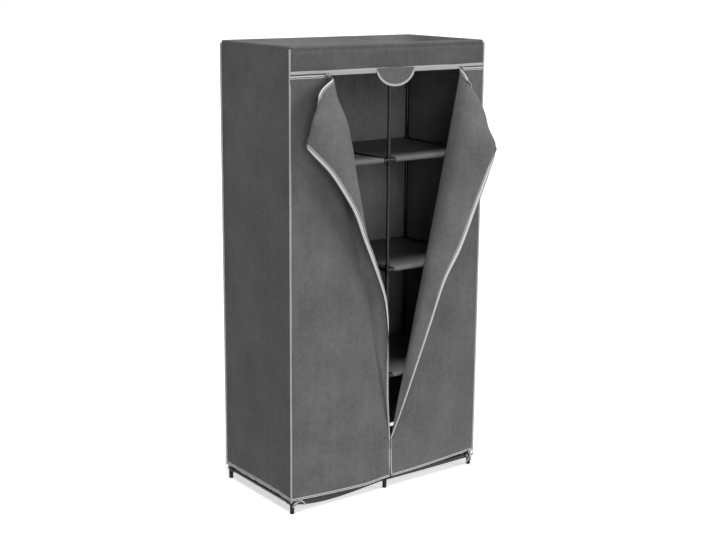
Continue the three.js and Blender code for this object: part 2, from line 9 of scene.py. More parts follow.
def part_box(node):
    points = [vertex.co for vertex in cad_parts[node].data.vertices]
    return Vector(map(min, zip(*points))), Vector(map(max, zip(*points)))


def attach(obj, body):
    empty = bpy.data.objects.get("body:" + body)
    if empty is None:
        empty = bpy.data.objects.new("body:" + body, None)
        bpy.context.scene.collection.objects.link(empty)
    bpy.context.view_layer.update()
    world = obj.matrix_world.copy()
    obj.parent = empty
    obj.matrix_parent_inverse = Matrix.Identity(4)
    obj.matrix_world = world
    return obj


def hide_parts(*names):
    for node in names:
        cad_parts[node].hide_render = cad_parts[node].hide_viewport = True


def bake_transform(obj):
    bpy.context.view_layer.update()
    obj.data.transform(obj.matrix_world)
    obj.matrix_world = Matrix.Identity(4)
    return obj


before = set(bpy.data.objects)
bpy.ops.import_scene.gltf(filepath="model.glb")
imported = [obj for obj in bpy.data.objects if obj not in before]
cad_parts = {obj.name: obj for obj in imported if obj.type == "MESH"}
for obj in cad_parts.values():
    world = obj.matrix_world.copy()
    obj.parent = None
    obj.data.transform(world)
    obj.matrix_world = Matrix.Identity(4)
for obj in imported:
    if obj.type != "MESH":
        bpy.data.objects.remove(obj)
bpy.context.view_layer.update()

fixedBody = "frame_and_cover"
solidDepth = 450
shiftY = 1000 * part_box("cover_back_panel")[1].y - solidDepth / 2   # the cover's middle, behind the origin


# Shapes. Points are in millimetres round the cover's middle; addPiece turns them into the shared frame.
# A part is a tuple of its points, its quads, its UV in metres and the index of its material.

mend = {"weld": 2e-6, "solidSharp": 35, "sheetSharp": 80}


def unit(vectors):
    # each vector divided by its length
    return vectors / np.maximum(np.linalg.norm(vectors, axis=-1, keepdims=True), 1e-9)


def lengthsAlong(points):
    # running length along the first axis, from 0
    steps = np.linalg.norm(np.diff(points, axis=0), axis=-1)
    return np.concatenate([np.zeros((1,) + steps.shape[1:]), np.cumsum(steps, axis=0)])


def lengthsAcross(grid):
    # running length along every row of a grid, from 0
    return lengthsAlong(np.swapaxes(grid, 0, 1)).T


def joined(*values):
    # arrays spread over each other and put together along a new last axis
    return np.stack(np.broadcast_arrays(*values), -1)


def gridPart(grid, u, v, material=0, flip=False):
    # a quad for every cell of a grid that is stored row by row
    index = np.arange(grid[..., 0].size).reshape(grid.shape[:2])
    quads = np.stack([index[:-1, :-1], index[:-1, 1:], index[1:, 1:], index[1:, :-1]], -1).reshape(-1, 4)
    uv = joined(u, v).reshape(-1, 2) / 1000
    return grid.reshape(-1, 3), quads[:, ::-1] if flip else quads, uv, material


def sheetPart(grid, flip=False):
    # an open sheet whose UV is the way along its rows and up its columns
    return gridPart(grid, lengthsAcross(grid), lengthsAlong(grid), flip=flip)


def sweepPart(path, side, up, profile, material=0):
    # a closed profile carried along a path: point = path + side * profile x + up * profile y,
    # with both ends drawn together in the middle of their rings
    side, up = np.broadcast_to(side, path.shape), np.broadcast_to(up, path.shape)
    ring = np.vstack([profile, profile[:1]])
    grid = path[:, None] + side[:, None] * ring[None, :, :1] + up[:, None] * ring[None, :, 1:]
    ends = [np.repeat(grid[i, :-1].mean(0)[None, None], len(ring), 1) for i in (0, -1)]
    along = np.pad(lengthsAlong(path), 1, mode="edge")[:, None]
    around = lengthsAlong(ring)
    return gridPart(np.concatenate([ends[0], grid, ends[1]]), along, np.minimum(around, around[-1] - around),
                    material)


def turnedPart(profile, origin, axis, sides=28, material=0):
    # a profile of radius and height turned round an axis: radius * (cos, sin) + height * axis
    axis, profile = np.asarray(axis, float), np.asarray(profile, float)
    first = unit(np.cross(axis, [0.3, 0.5, 0.8]))
    second = np.cross(axis, first)
    angle = np.linspace(0, 2 * np.pi, sides + 1)
    spoke = np.cos(angle)[:, None] * first + np.sin(angle)[:, None] * second
    radius, height = profile.T
    grid = np.asarray(origin, float) + spoke[:, None] * radius[:, None] + axis * height[:, None]
    return gridPart(grid, lengthsAlong(profile), (angle * radius.max())[:, None], material)


def addObject(name, data):
    made = bpy.data.objects.new(name, data)
    bpy.context.scene.collection.objects.link(made)
    return made


def addPiece(name, parts, materials, body, nodes=(), thickness=0):
    # parts are welded into one mesh in metres; a sheet gets its thickness from Solidify
    points, uv = (np.concatenate([part[i] for part in parts]) for i in (0, 2))
    starts = np.cumsum([0] + [len(part[0]) for part in parts[:-1]])
    quads = np.concatenate([part[1] + start for part, start in zip(parts, starts)])
    slots = np.concatenate([np.full(len(part[1]), part[3]) for part in parts])
    mesh = bpy.data.meshes.new(name)
    mesh.vertices.add(len(points))
    mesh.vertices.foreach_set("co", ((points + [0, shiftY, 0]) / 1000).ravel())
    mesh.loops.add(quads.size)
    mesh.loops.foreach_set("vertex_index", quads.ravel().astype(np.int32))
    mesh.polygons.add(len(quads))
    mesh.polygons.foreach_set("loop_start", np.arange(0, quads.size, 4, dtype=np.int32))
    mesh.polygons.foreach_set("material_index", slots.astype(np.int32))
    mesh.polygons.foreach_set("use_smooth", np.ones(len(quads), bool))
    mesh.update(calc_edges=True)
    mesh.uv_layers.new(name="UVMap").data.foreach_set("uv", uv[quads.ravel()].ravel())
    welded = bmesh.new()
    welded.from_mesh(mesh)
    bmesh.ops.remove_doubles(welded, verts=welded.verts, dist=mend["weld"])
    if not thickness:
        bmesh.ops.recalc_face_normals(welded, faces=welded.faces)
    welded.to_mesh(mesh)
    welded.free()
    mesh.validate()
    mesh.set_sharp_from_angle(angle=math.radians(mend["sheetSharp" if thickness else "solidSharp"]))
    for material in materials:
        mesh.materials.append(material)
    piece = addObject(name, mesh)
    if thickness:
        wall = piece.modifiers.new("cloth", "SOLIDIFY")
        wall.thickness, wall.offset = thickness / 1000, 0
        wall.material_offset = len(materials) - 1
    if body:
        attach(piece, body)
    if nodes:
        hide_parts(*nodes)
    return piece


def ripple(u, v, seed, fine=3.5):
    # a sum of ten sine waves with seeded directions and phases over the unit square, about -1 to 1
    draw = np.random.default_rng(seed)
    total = np.zeros(np.broadcast(u, v).shape)
    for across, along, phase in draw.uniform(-1, 1, (10, 3)) * [fine, fine, np.pi]:
        total = total + np.sin(2 * np.pi * (across * u + along * v) + phase) / (1 + math.hypot(across, along))
    return total / 1.6


def smoothStep(share):
    # 0 to 1 with level ends: share^2 * (3 - 2 * share)
    share = np.clip(share, 0, 1)
    return share * share * (3 - 2 * share)


def fade(share, width):
    # 0 at both ends of a 0 to 1 share, rising smoothly to 1 over the given width
    return smoothStep(np.minimum(share, 1 - share) / width)


# Materials

def feed(tree, value, socket):
    # value is a number, a colour, a node's output, or a tuple of a math operation and its own values
    if isinstance(value, tuple) and isinstance(value[0], str):
        node = tree.nodes.new("ShaderNodeMath")
        node.operation = value[0]
        for part, place in zip(value[1:], node.inputs):
            feed(tree, part, place)
        value = node.outputs[0]
    if hasattr(value, "is_linked"):
        tree.links.new(value, socket)
    else:
        socket.default_value = value


def addNode(tree, kind, sockets={}, **settings):
    # kind is a node's type or a node group; sockets are fed by name or number
    node = tree.nodes.new(kind if isinstance(kind, str) else "ShaderNodeGroup")
    if node.type == "GROUP":
        node.node_tree = kind
    for key, value in settings.items():
        setattr(node, key, value)
    for key, value in sockets.items():
        feed(tree, value, node.inputs[key])
    return node.outputs


def objectPlace(tree):
    return addNode(tree, "ShaderNodeTexCoord")["Object"]


def mapParts(tree):
    # U and V of the piece's own map, in metres
    return addNode(tree, "ShaderNodeSeparateXYZ", {0: addNode(tree, "ShaderNodeTexCoord")["UV"]})[:2]


def noiseAt(tree, place, scale, detail, roughness=0.5):
    return addNode(tree, "ShaderNodeTexNoise", {"Vector": place, "Scale": scale, "Detail": detail,
                                                "Roughness": roughness})["Fac"]


def scaledColor(tree, color, factor):
    return addNode(tree, "ShaderNodeVectorMath", {0: color, "Scale": factor}, operation="SCALE")[0]


def newGroup(name, inputs, outputs):
    # inputs come with their usual values; a socket called Color holds a colour, any other a number
    group = bpy.data.node_groups.new(name, "ShaderNodeTree")
    for way, labels in (("INPUT", inputs), ("OUTPUT", outputs)):
        for label in labels:
            kind = "NodeSocketColor" if label == "Color" else "NodeSocketFloat"
            socket = group.interface.new_socket(label, in_out=way, socket_type=kind)
            if way == "INPUT":
                socket.default_value = inputs[label]
    return group, group.nodes.new("NodeGroupInput").outputs, group.nodes.new("NodeGroupOutput").inputs


mottling = {"blotch": 0.24, "streak": 70.0, "stretch": 0.05, "cloud": 6.0, "blotchHeight": 1.4}


def mottleGroup():
    # fibre clumps, blotches four times their size, long upright streaks and soft clouds vary a colour:
    # color * (1 + sum of (noise - 0.5) * contrast * weight)
    usual = {"Color": (0.5, 0.5, 0.5, 1), "Clump Size": 0.004, "Contrast": 0.1, "Patch Contrast": 0.08}
    group, given, out = newGroup("fibre mottle", usual, ("Color", "Height"))
    place = objectPlace(group)
    upright = addNode(group, "ShaderNodeVectorMath", {0: place, 1: (1, 1, mottling["stretch"])},
                      operation="MULTIPLY")[0]
    scale = ("DIVIDE", 1.0, given["Clump Size"])
    fibres = noiseAt(group, place, scale, 4.0, 0.6)
    blotches = noiseAt(group, place, ("MULTIPLY", scale, mottling["blotch"]), 3.0, 0.6)
    streaks = noiseAt(group, upright, mottling["streak"], 3.0)
    clouds = noiseAt(group, place, mottling["cloud"], 3.0)
    factor = 1.0
    for noise, contrast, weight in ((fibres, "Contrast", 1.8), (blotches, "Contrast", 1.2),
                                    (streaks, "Contrast", 0.6), (clouds, "Patch Contrast", 2.0)):
        factor = ("MULTIPLY_ADD", ("MULTIPLY", ("SUBTRACT", noise, 0.5), given[contrast]), weight, factor)
    feed(group, scaledColor(group, given["Color"], factor), out["Color"])
    feed(group, ("MULTIPLY_ADD", blotches, mottling["blotchHeight"], fibres), out["Height"])
    return group


def embossGroup():
    # the little bonded dimples of spunbond cloth in staggered rows:
    # sin^2((u + v) * pi / pitch) * sin^2((u - v) * pi / pitch)
    group, given, out = newGroup("bonded dimples", {"Pitch": 0.002}, ("Dimple",))
    along, across = mapParts(group)
    waves = [("POWER", ("SINE", ("MULTIPLY", (way, along, across), ("DIVIDE", math.pi, given["Pitch"]))), 2.0)
             for way in ("ADD", "SUBTRACT")]
    feed(group, ("MULTIPLY", *waves), out["Dimple"])
    return group


stitch = {"dash": 0.78, "grooveMiddle": 0.0042, "grooveHalf": 0.0014, "ribPitch": 0.0009}


def stitchGroup():
    # a dashed seam along U at a set distance across V, a groove beside it and fine ribs across
    group, given, out = newGroup("stitch line", {"Distance": 0.0072, "Width": 0.0004, "Pitch": 0.0032},
                                 ("Thread", "Ribs", "Groove"))
    along, across = mapParts(group)
    near = ("LESS_THAN", ("ABSOLUTE", ("SUBTRACT", across, given["Distance"])), given["Width"])
    dash = ("LESS_THAN", ("FRACT", ("DIVIDE", along, given["Pitch"])), stitch["dash"])
    beside = ("ABSOLUTE", ("SUBTRACT", across, stitch["grooveMiddle"]))
    ribs = ("SINE", ("MULTIPLY", along, 2 * math.pi / stitch["ribPitch"]))
    feed(group, ("MULTIPLY", near, dash), out["Thread"])
    feed(group, ("LESS_THAN", beside, stitch["grooveHalf"]), out["Groove"])
    feed(group, ("MULTIPLY_ADD", ribs, 0.5, 0.5), out["Ribs"])
    return group


mottle, emboss, stitches = mottleGroup(), embossGroup(), stitchGroup()

colors = {
    # side cloth: the cover cloth painted darker, as painted shade on the two sides
    "cover cloth": (0.111, 0.111, 0.112), "side cloth with painted shade": (0.093, 0.093, 0.094),
    # valance cloth: the cover cloth painted darker, as painted shade on the valance
    "valance cloth with painted shade": (0.082, 0.082, 0.083), "cover cloth reverse": (0.129, 0.129, 0.13),
    # back cloth reverse: the back's inside painted paler than the other reverse, as painted light for light
    # falling through the cloth
    "back cloth reverse with painted light": (0.2, 0.2, 0.201), "shelf cloth": (0.125, 0.125, 0.127),
    # floor panel cloth: painted near black, as painted shade under the front hem
    "floor panel cloth with painted shade": (0.042, 0.042, 0.043), "binding tape": (0.43, 0.43, 0.435),
    "seamed tape": (0.63, 0.63, 0.635), "zip tape": (0.42, 0.42, 0.425), "dark zip tape": (0.1, 0.1, 0.102),
    "ribbon": (0.36, 0.36, 0.365), "zip coil": (0.035, 0.035, 0.037), "tube paint": (0.005, 0.005, 0.006),
    "joiner plastic": (0.004, 0.004, 0.005), "slider metal": (0.24, 0.24, 0.25),
}


def newMaterial(name):
    material = bpy.data.materials.new(name)
    material.use_nodes = True
    return material, material.node_tree


def feedShader(tree, sockets):
    for key, value in sockets.items():
        feed(tree, value, tree.nodes["Principled BSDF"].inputs[key])


def bumpFrom(tree, height, strength, distance):
    return addNode(tree, "ShaderNodeBump", {"Height": height, "Strength": strength, "Distance": distance})[0]


clothFinish = {"clump": 0.0042, "contrast": 0.42, "patches": 0.4, "pitch": 0.0022, "dimple": 0.28,
               "dimpleShade": 0.12, "shade": 1.03, "roughness": 0.75, "gloss": 0.3}
# groove: the colour of the dark line beside the seam, the dark cloth there with painted shade
tapeFinish = {"clump": 0.002, "contrast": 0.1, "patches": 0.05, "rib": 0.3, "roughness": 0.82, "gloss": 0.25,
              "thread": (0.65, 0.65, 0.655, 1), "groove": (0.08, 0.08, 0.08, 1)}


def mottled(tree, name, finish):
    return addNode(tree, mottle, {"Color": (*colors[name], 1), "Clump Size": finish["clump"],
                                  "Contrast": finish["contrast"], "Patch Contrast": finish["patches"]})


def clothMaterial(name):
    # mottled fibres, darker and lower in each bonded dimple
    material, tree = newMaterial(name)
    tone = mottled(tree, name, clothFinish)
    dimple = addNode(tree, emboss, {"Pitch": clothFinish["pitch"]})["Dimple"]
    shade = ("MULTIPLY_ADD", dimple, -clothFinish["dimpleShade"], clothFinish["shade"])
    height = ("MULTIPLY_ADD", dimple, -clothFinish["dimple"], tone["Height"])
    feedShader(tree, {"Base Color": scaledColor(tree, tone["Color"], shade),
                      "Normal": bumpFrom(tree, height, 0.5, 0.0007),
                      "Roughness": clothFinish["roughness"], "Specular IOR Level": clothFinish["gloss"]})
    return material


def tapeMaterial(name, seamed=False):
    # ribbed tape; a seam adds its thread, and a dark line in the groove beside it: the dark cloth there, with
    # painted shade
    material, tree = newMaterial(name)
    color = mottled(tree, name, tapeFinish)["Color"]
    lines = addNode(tree, stitches)
    for mask in ("Thread", "Groove") if seamed else ():
        color = addNode(tree, "ShaderNodeMix", {"Factor": lines[mask], 6: color, 7: tapeFinish[mask.lower()]},
                        data_type="RGBA")[2]
    height = ("MULTIPLY_ADD", lines["Ribs"], tapeFinish["rib"], lines["Thread"] if seamed else 0.0)
    feedShader(tree, {"Base Color": color, "Normal": bumpFrom(tree, height, 0.4, 0.0004),
                      "Roughness": tapeFinish["roughness"], "Specular IOR Level": tapeFinish["gloss"]})
    return material


def hardMaterial(name, worn, grain, finish):
    # paint, moulded plastic or metal. worn: noise scale, swing and least value of the roughness;
    # grain: noise scale and detail, strength and depth of the bump
    material, tree = newMaterial(name)
    place = objectPlace(tree)
    feedShader(tree, {"Base Color": (*colors[name], 1),
                      "Roughness": ("MULTIPLY_ADD", noiseAt(tree, place, worn[0], 4.0), *worn[1:]),
                      "Normal": bumpFrom(tree, noiseAt(tree, place, *grain[:2]), *grain[2:]), **finish})
    return material


def coilMaterial(name, pitch=0.0014):
    # rounded turns of nylon across the strip: a sine of the way along U
    material, tree = newMaterial(name)
    turns = ("SINE", ("MULTIPLY", mapParts(tree)[0], 2 * math.pi / pitch))
    feedShader(tree, {"Base Color": (*colors[name], 1), "Roughness": ("MULTIPLY_ADD", turns, -0.1, 0.5),
                      "Normal": bumpFrom(tree, turns, 0.8, 0.0005)})
    return material


coverCloth, shadedSideCloth, shadedValanceCloth, reverseCloth, backReverseWithPaintedLight, shelfCloth, shadedFloorPanelCloth = [
    clothMaterial(name) for name in colors if "cloth" in name]
bindingTape, zipTape, darkZipTape, ribbonCloth = [
    tapeMaterial(name) for name in ("binding tape", "zip tape", "dark zip tape", "ribbon")]
seamedTape = tapeMaterial("seamed tape", seamed=True)
coilNylon = coilMaterial("zip coil")
tubePaint = hardMaterial("tube paint", (35.0, 0.1, 0.05), (900.0, 3.0, 0.04, 0.0003),
                         {"Specular IOR Level": 0.45})
joinerPlastic = hardMaterial("joiner plastic", (35.0, 0.1, 0.22), (900.0, 3.0, 0.2, 0.0003),
                             {"Specular IOR Level": 0.24})
sliderMetal = hardMaterial("slider metal", (400.0, 0.2, 0.22), (400.0, 4.0, 0.15, 0.0002), {"Metallic": 1.0})
print("materials made")


# Camera at the photograph's viewpoint, for a picture of 716 x 540

camera = {"spot": (-2931.92, -3955.99, 1967.51), "yaw": 0.64178, "pitch": 0.22834, "roll": 0.00813,
          "lens": 65.849, "sensor": 36, "farthest": 60}


def addCamera():
    # axes from yaw and pitch, then turned by roll about the line of sight
    yaw, pitch, roll = camera["yaw"], camera["pitch"], camera["roll"]
    ahead = np.array([math.sin(yaw) * math.cos(pitch), math.cos(yaw) * math.cos(pitch), -math.sin(pitch)])
    level = np.array([math.cos(yaw), -math.sin(yaw), 0])
    above = np.cross(level, ahead)
    right = math.cos(roll) * level + math.sin(roll) * above
    up = -math.sin(roll) * level + math.cos(roll) * above
    data = bpy.data.cameras.new("camera")
    data.lens, data.sensor_width, data.sensor_fit = camera["lens"], camera["sensor"], "HORIZONTAL"
    data.clip_end = camera["farthest"]
    made = addObject("camera", data)
    spot = (np.array(camera["spot"]) + [0, shiftY, 0]) / 1000
    made.matrix_world = Matrix(np.vstack([np.c_[right, up, -ahead, spot], [0, 0, 0, 1]]).tolist())
    bpy.context.scene.camera = made


addCamera()


# Frame of tubes and plug joiners

tube = {"radius": 6.5, "joinerRadius": 8.5, "joinerHalf": 22, "armReach": 27, "armBore": 6.8, "boreDepth": 16,
        "armStep": 0.3, "armCollar": 5, "lip": 0.7, "edge": 0.4, "slack": 0.3, "postX": 429.7, "postY": 214.7}
ring = {"start": 4, "end": 6, "depth": 0.5}   # the shallow ring near each end of a sleeve
foot = {"height": 16, "tubeFrom": 12, "band": 7, "round": 1.5, "step": 0.6}
postX, postY = tube["postX"], tube["postY"]
levels = {"bottom": 38, "lower": 450.925, "middle": 863.85, "hat": 1276.775, "top": 1689.7}
rightBayOnly = ("lower", "middle")
columnX = {"left": -postX, "center": 0, "right": postX}
rowY = {"front": -postY, "back": postY}


def barProfile(radius, low, high):
    # a bar from low to high with sloped ends, closed on the axis
    edge = tube["edge"]
    return [(0, low), (radius - edge, low), (radius, low + edge),
            (radius, high - edge), (radius - edge, high), (0, high)]


def joinerProfile(low, high):
    # a sleeve with rounded ends and a ring near each of them: one end's half, and the same turned over
    radius, lip, edge = tube["joinerRadius"], tube["lip"], tube["edge"]
    hollow = radius - ring["depth"]
    half = [(0, 0), (radius - lip, 0), (radius, lip), (radius, ring["start"]), (hollow, ring["start"] + edge),
            (hollow, ring["end"] - edge), (radius, ring["end"])]
    return [(r, low + h) for r, h in half] + [(r, high - h) for r, h in half[::-1]]


def armProfile():
    # a socket with a collar at its mouth: out along the wall, then down the bore to its floor
    radius, reach, lip = tube["joinerRadius"], tube["armReach"], tube["lip"]
    neck, collar, floor = radius - tube["armStep"], reach - tube["armCollar"], reach - tube["boreDepth"]
    return [(0, 0), (neck, 0), (neck, collar), (radius, collar + tube["edge"]), (radius, reach - lip),
            (radius - lip, reach), (tube["armBore"], reach), (tube["armBore"], floor), (0, floor)]


def footProfile():
    # a plain foot with a rounded tread and a slightly wider band round it
    radius, step = tube["joinerRadius"], foot["step"]
    return [(0, 0), (radius - foot["round"], 0), (radius, foot["round"]), (radius, foot["band"]),
            (radius - step, foot["band"] + step), (radius - step, foot["height"]), (0, foot["height"])]


for row, y in rowY.items():
    for column, x in columnX.items():
        upright = ((x, y, 0), (0, 0, 1))
        pole = [(0, foot["tubeFrom"]), (tube["radius"], foot["tubeFrom"]), (tube["radius"], levels["top"]),
                (0, levels["top"])]
        parts = [turnedPart(pole, *upright), turnedPart(footProfile(), *upright, material=1)]
        for level, z in levels.items():
            low = foot["height"] if level == "bottom" else z - tube["joinerHalf"]
            high = z + tube["joinerRadius" if level == "top" else "joinerHalf"]
            parts.append(turnedPart(joinerProfile(low, high), *upright, material=1))
            inBoth = level not in rightBayOnly
            ways = [(1, 0, 0)] if column == "center" or (column == "left" and inBoth) else []
            ways += [(-1, 0, 0)] if column == "right" or (column == "center" and inBoth) else []
            ways += [(0, -np.sign(y), 0)] if column != "left" or inBoth else []
            parts += [turnedPart(armProfile(), (x, y, z), way, material=1) for way in ways]
        addPiece(f"post_tube_{row}_{column}", parts, [tubePaint, joinerPlastic], fixedBody,
                 [f"post_{row}_{column}"])


def railPart(start, way, length):
    # a tube between two bore floors, with a little slack at each
    inset = tube["armReach"] - tube["boreDepth"] + tube["slack"]
    return turnedPart(barProfile(tube["radius"], inset, length - inset), start, way, sides=24)


for level, z in levels.items():
    parts, nodes = [], []
    for row, y in rowY.items():
        for bay, x in (("left", -postX), ("right", 0)):
            if bay == "right" or level not in rightBayOnly:
                parts.append(railPart((x, y, z), (1, 0, 0), postX))
                nodes.append(f"rail_{level}_{row}_{bay}")
    for column, x in columnX.items():
        if column != "left" or level not in rightBayOnly:
            parts.append(railPart((x, rowY["front"], z), (0, 1, 0), 2 * postY))
            nodes.append(f"rail_{level}_side_{column}")
    addPiece(f"rails_{level}", parts, [tubePaint], fixedBody, nodes)

rod = {"drop": 32, "inset": 6.8, "hookRadius": 7.65, "hookHalf": 7, "hookEdge": 0.6, "hookThick": 0.85,
       "collar": (8.5, -8, 6), "collarPlace": 15.5}


def rodParts():
    # a bar between two strap hooks, each a half circle over its rail with a straight fall to a collar
    height = levels["hat"] - rod["drop"]
    parts = [turnedPart(barProfile(tube["radius"], 0, postX - 2 * rod["inset"]),
                        (rod["inset"] - postX, 0, height), (1, 0, 0))]
    half, flat, crown = rod["hookHalf"], rod["hookHalf"] - rod["hookEdge"], 1.2
    strap = np.array([(-1, -half), (1, -half), (crown, -flat), (crown, flat), (1, half), (-1, half)])
    for x, inward in ((-postX, 1), (0, -1)):
        angle = np.linspace(np.pi, 0, 24)[:, None]
        out = np.hstack([np.cos(angle) * inward, 0 * angle, np.sin(angle)])
        fall = np.linspace(-1.5, -rod["drop"] - tube["joinerRadius"], 14)[:, None]
        straight = np.hstack([0 * fall + inward * rod["hookRadius"], 0 * fall, fall])
        path = np.vstack([out * rod["hookRadius"], straight]) + [x, 0, levels["hat"]]
        side = np.vstack([out, np.tile([inward, 0, 0], (len(fall), 1))])
        parts.append(sweepPart(path, side, [0, 1.0, 0], strap * [rod["hookThick"], 1], material=1))
        parts.append(turnedPart(barProfile(*rod["collar"]), (x + inward * rod["collarPlace"], 0, height),
                                (inward, 0, 0), material=1))
    return parts


addPiece("rod_with_hooks", rodParts(), [tubePaint, joinerPlastic], fixedBody, ["hanging_rod"])
print("frame made")


# Shelf cloths with their sleeves round the rails

shelf = {"turn": 7.9, "sleeveDepth": 20, "sag": 5, "floorSag": 12, "droop": 0.6, "leftDroop": 15,
         "rightDroop": 1, "endGap": 27.3, "cloth": 0.8, "wave": 0.9, "floorWave": 1.98, "stations": 41}


def shelfGrid(x0, x1, height, sag, droop, peakShare, wave, seed):
    # side view: seam, five eighths of a turn round the front rail, a parabola of sag, then the same at the
    # back; the sleeve droops under its rail by a sine whose peak lies at peakShare
    turn = shelf["turn"]
    share = np.linspace(0, 1, shelf["stations"])
    hang = droop * np.sin(np.pi * share ** (math.log(0.5) / math.log(peakShare)))
    angle = -np.pi / 4 - 1.25 * np.pi * np.linspace(0, 1, 25)
    seamY = -postY + shelf["sleeveDepth"]
    sheetHeight = lambda y: turn - sag * (1 - (y / postY) ** 2)
    half = np.empty((len(share), len(angle) + 2, 2))
    half[:, 0] = [seamY, sheetHeight(seamY) - 1.4]
    half[:, 1] = [seamY - 5, sheetHeight(seamY) - 3.4]
    half[:, 2:, 0] = -postY + turn * np.cos(angle)
    half[:, 2:, 1] = turn * np.sin(angle) - hang[:, None] * np.maximum(0, -np.sin(angle))
    y = np.linspace(-postY, postY, 42)[1:-1]
    middle = joined(y, sheetHeight(y) * np.ones((len(share), 1)))
    y, z = np.moveaxis(np.concatenate([half, middle, half[:, ::-1] * [-1, 1]], 1), -1, 0)
    depthShare = (y + postY) / (2 * postY)
    z = z + height + wave * ripple(share[:, None], depthShare, seed) * fade(depthShare, 0.1)
    return joined((x0 + (x1 - x0) * share)[:, None], y, z)


bays = {"left": (-postX + shelf["endGap"], -shelf["endGap"]),
        "right": (shelf["endGap"], postX - shelf["endGap"])}
# each shelf's bay and level, how far its sleeve droops, and at which share of its width
shelves = {"floor_panel_left": ("left", "bottom", shelf["leftDroop"], 0.4),
           "floor_panel_right": ("right", "bottom", shelf["rightDroop"], 0.5),
           "shelf_lower": ("right", "lower", shelf["droop"], 0.5),
           "shelf_middle": ("right", "middle", shelf["droop"], 0.5),
           "hat_shelf_left": ("left", "hat", shelf["droop"], 0.5),
           "hat_shelf_right": ("right", "hat", shelf["droop"], 0.5)}
for seed, (node, (bay, level, droop, peakShare)) in enumerate(shelves.items(), 20):
    onFloor = level == "bottom"
    sag, wave = (shelf["floorSag"], shelf["floorWave"]) if onFloor else (shelf["sag"], shelf["wave"])
    grid = shelfGrid(*bays[bay], levels[level], sag, droop, peakShare, wave, seed)
    # the floor panels take the near-black cloth, which is painted shade
    piece = addPiece(f"cloth_{node}", [sheetPart(grid)], [shadedFloorPanelCloth if onFloor else shelfCloth],
                     fixedBody, [node], thickness=shelf["cloth"])
print("shelves made")


# Cover: roof, sides and back

cover = {"width": 880, "depth": 450, "halfWidth": 439.6, "halfDepth": 224.6, "top": 1700, "cloth": 0.7,
         "edgeRadius": 6, "hemHeight": 62, "hemDip": 18, "droop": 9, "droopWidth": 130, "leftTray": 13,
         "rightTray": 27, "leftWall": 70, "rightWall": 16, "roofWave": 2.5, "bulge": 3.2, "grooveDrop": 18,
         "groove": 1.5}
halfWidth, halfDepth = cover["halfWidth"], cover["halfDepth"]


def hemAt(x):
    # the hem dips towards the middle by a cosine
    return cover["hemHeight"] - cover["hemDip"] * np.cos(np.pi * x / cover["width"])


def frontHemAt(x):
    # the left door's hem hangs lower: it falls by the droop beside the middle zip, in a smooth step
    return hemAt(x) - cover["droop"] * smoothStep((zips["x"] - x) / cover["droopWidth"])


def edgeDrop(offset, half):
    # how far the roof falls from its top level near an edge: a quarter circle of the edge radius
    radius = cover["edgeRadius"]
    past = np.clip(np.abs(offset) - (half - radius), 0, radius)
    return radius - np.sqrt(np.maximum(radius * radius - past * past, 0))


def acrossRoof(half, fields):
    # places across the roof: fine over the rounded edges, even over each sagging field
    radius = cover["edgeRadius"]
    turn = half - radius + radius * np.sin(np.linspace(0, np.pi / 2, 7))
    return np.concatenate([-turn[::-1], *[np.linspace(*field, 45) for field in fields], turn])


def fieldDepth(place, low, high, wall):
    # 0 outside the field, inside it 1 - exp(-distance from its edge / wall)
    return 1 - np.exp(-np.maximum(np.minimum(place - low, high - place), 0) / wall)


def rimGroove(z):
    # the shallow hollow under the top rails, where the cloth falls in behind the tube's bulge
    return cover["groove"] * np.exp(-((z - cover["top"] + cover["grooveDrop"]) / 5) ** 2)


def roofGrid():
    # the top level, less the fall at the edges and a tray in each bay, with a ripple where a tray is deep
    gap = tube["joinerRadius"]
    xFields = [(-postX + gap, -gap), (gap, postX - gap)]
    yField = (-postY + gap, postY - gap)
    x = acrossRoof(halfWidth, xFields)
    y = acrossRoof(halfDepth, [yField])[:, None]
    sag = 0
    for side, field in zip(("left", "right"), xFields):
        wall = cover[f"{side}Wall"]
        sag = sag + cover[f"{side}Tray"] * fieldDepth(x, *field, wall) * fieldDepth(y, *yField, wall)
    wave = ripple(x / cover["width"] + 0.5, y / cover["depth"] + 0.5, 3, fine=3) * sag / cover["rightTray"]
    z = cover["top"] - edgeDrop(x, halfWidth) - edgeDrop(y, halfDepth) - sag
    return joined(x, y, z + cover["roofWave"] * wave)


def addCoverCloth(name, parts, outside, nodes, inside=reverseCloth, body=fixedBody):
    return addPiece(f"cloth_{name}", parts, [outside, inside], body, nodes,
                    thickness=cover["cloth"])


roof = addCoverCloth("roof", [sheetPart(roofGrid())], coverCloth, ["cover_top_panel"])


def bindingProfile(width, bulk=0.9):
    # a tape folded over an edge: x runs into the cloth, y out of its face
    face = np.array([(width, 0.4), (width, bulk - 0.2), (width - 0.8, bulk), (1.2, bulk), (0.1, bulk - 0.2),
                     (-0.5, 0.3)])
    return np.vstack([face, face[::-1] * [1, -1]])


def edgeFrames(path, inner, face):
    # from the path's tangent: the way into the cloth square to it, and the face's normal square to both
    tangent = unit(np.gradient(path, axis=0))
    inner = np.broadcast_to(inner, path.shape)
    inward = unit(inner - np.sum(inner * tangent, -1, keepdims=True) * tangent)
    normal = unit(np.cross(tangent, inward))
    return inward, normal * np.sign(np.sum(normal * face, -1, keepdims=True))


def bandPart(path, inner, face, width):
    # a binding along the edge of a cloth
    return sweepPart(path, *edgeFrames(path, inner, face), bindingProfile(width))


# how each vertical seam's bound fin stands: the way it leans, its reach and its thickness, in half sizes,
# and how far it is drawn aside at the height of the top zips, where it is also thinner, so the sliders pass
fins = {(-1, -1): (0.70, 0.71, 2.8, 3.6, 1.4), (1, -1): (0.95, 0.3, 3.8, 1.6, 0.6),
        (-1, 1): (0.93, 0.37, 3.9, 1.5, 0), (1, 1): (0.93, 0.37, 3.9, 1.5, 0)}
finPinch = {"height": 1591, "reach": 24, "share": 0.38}
finLine = {"steps": 180, "sway": 0.22, "inset": 2, "below": 6}


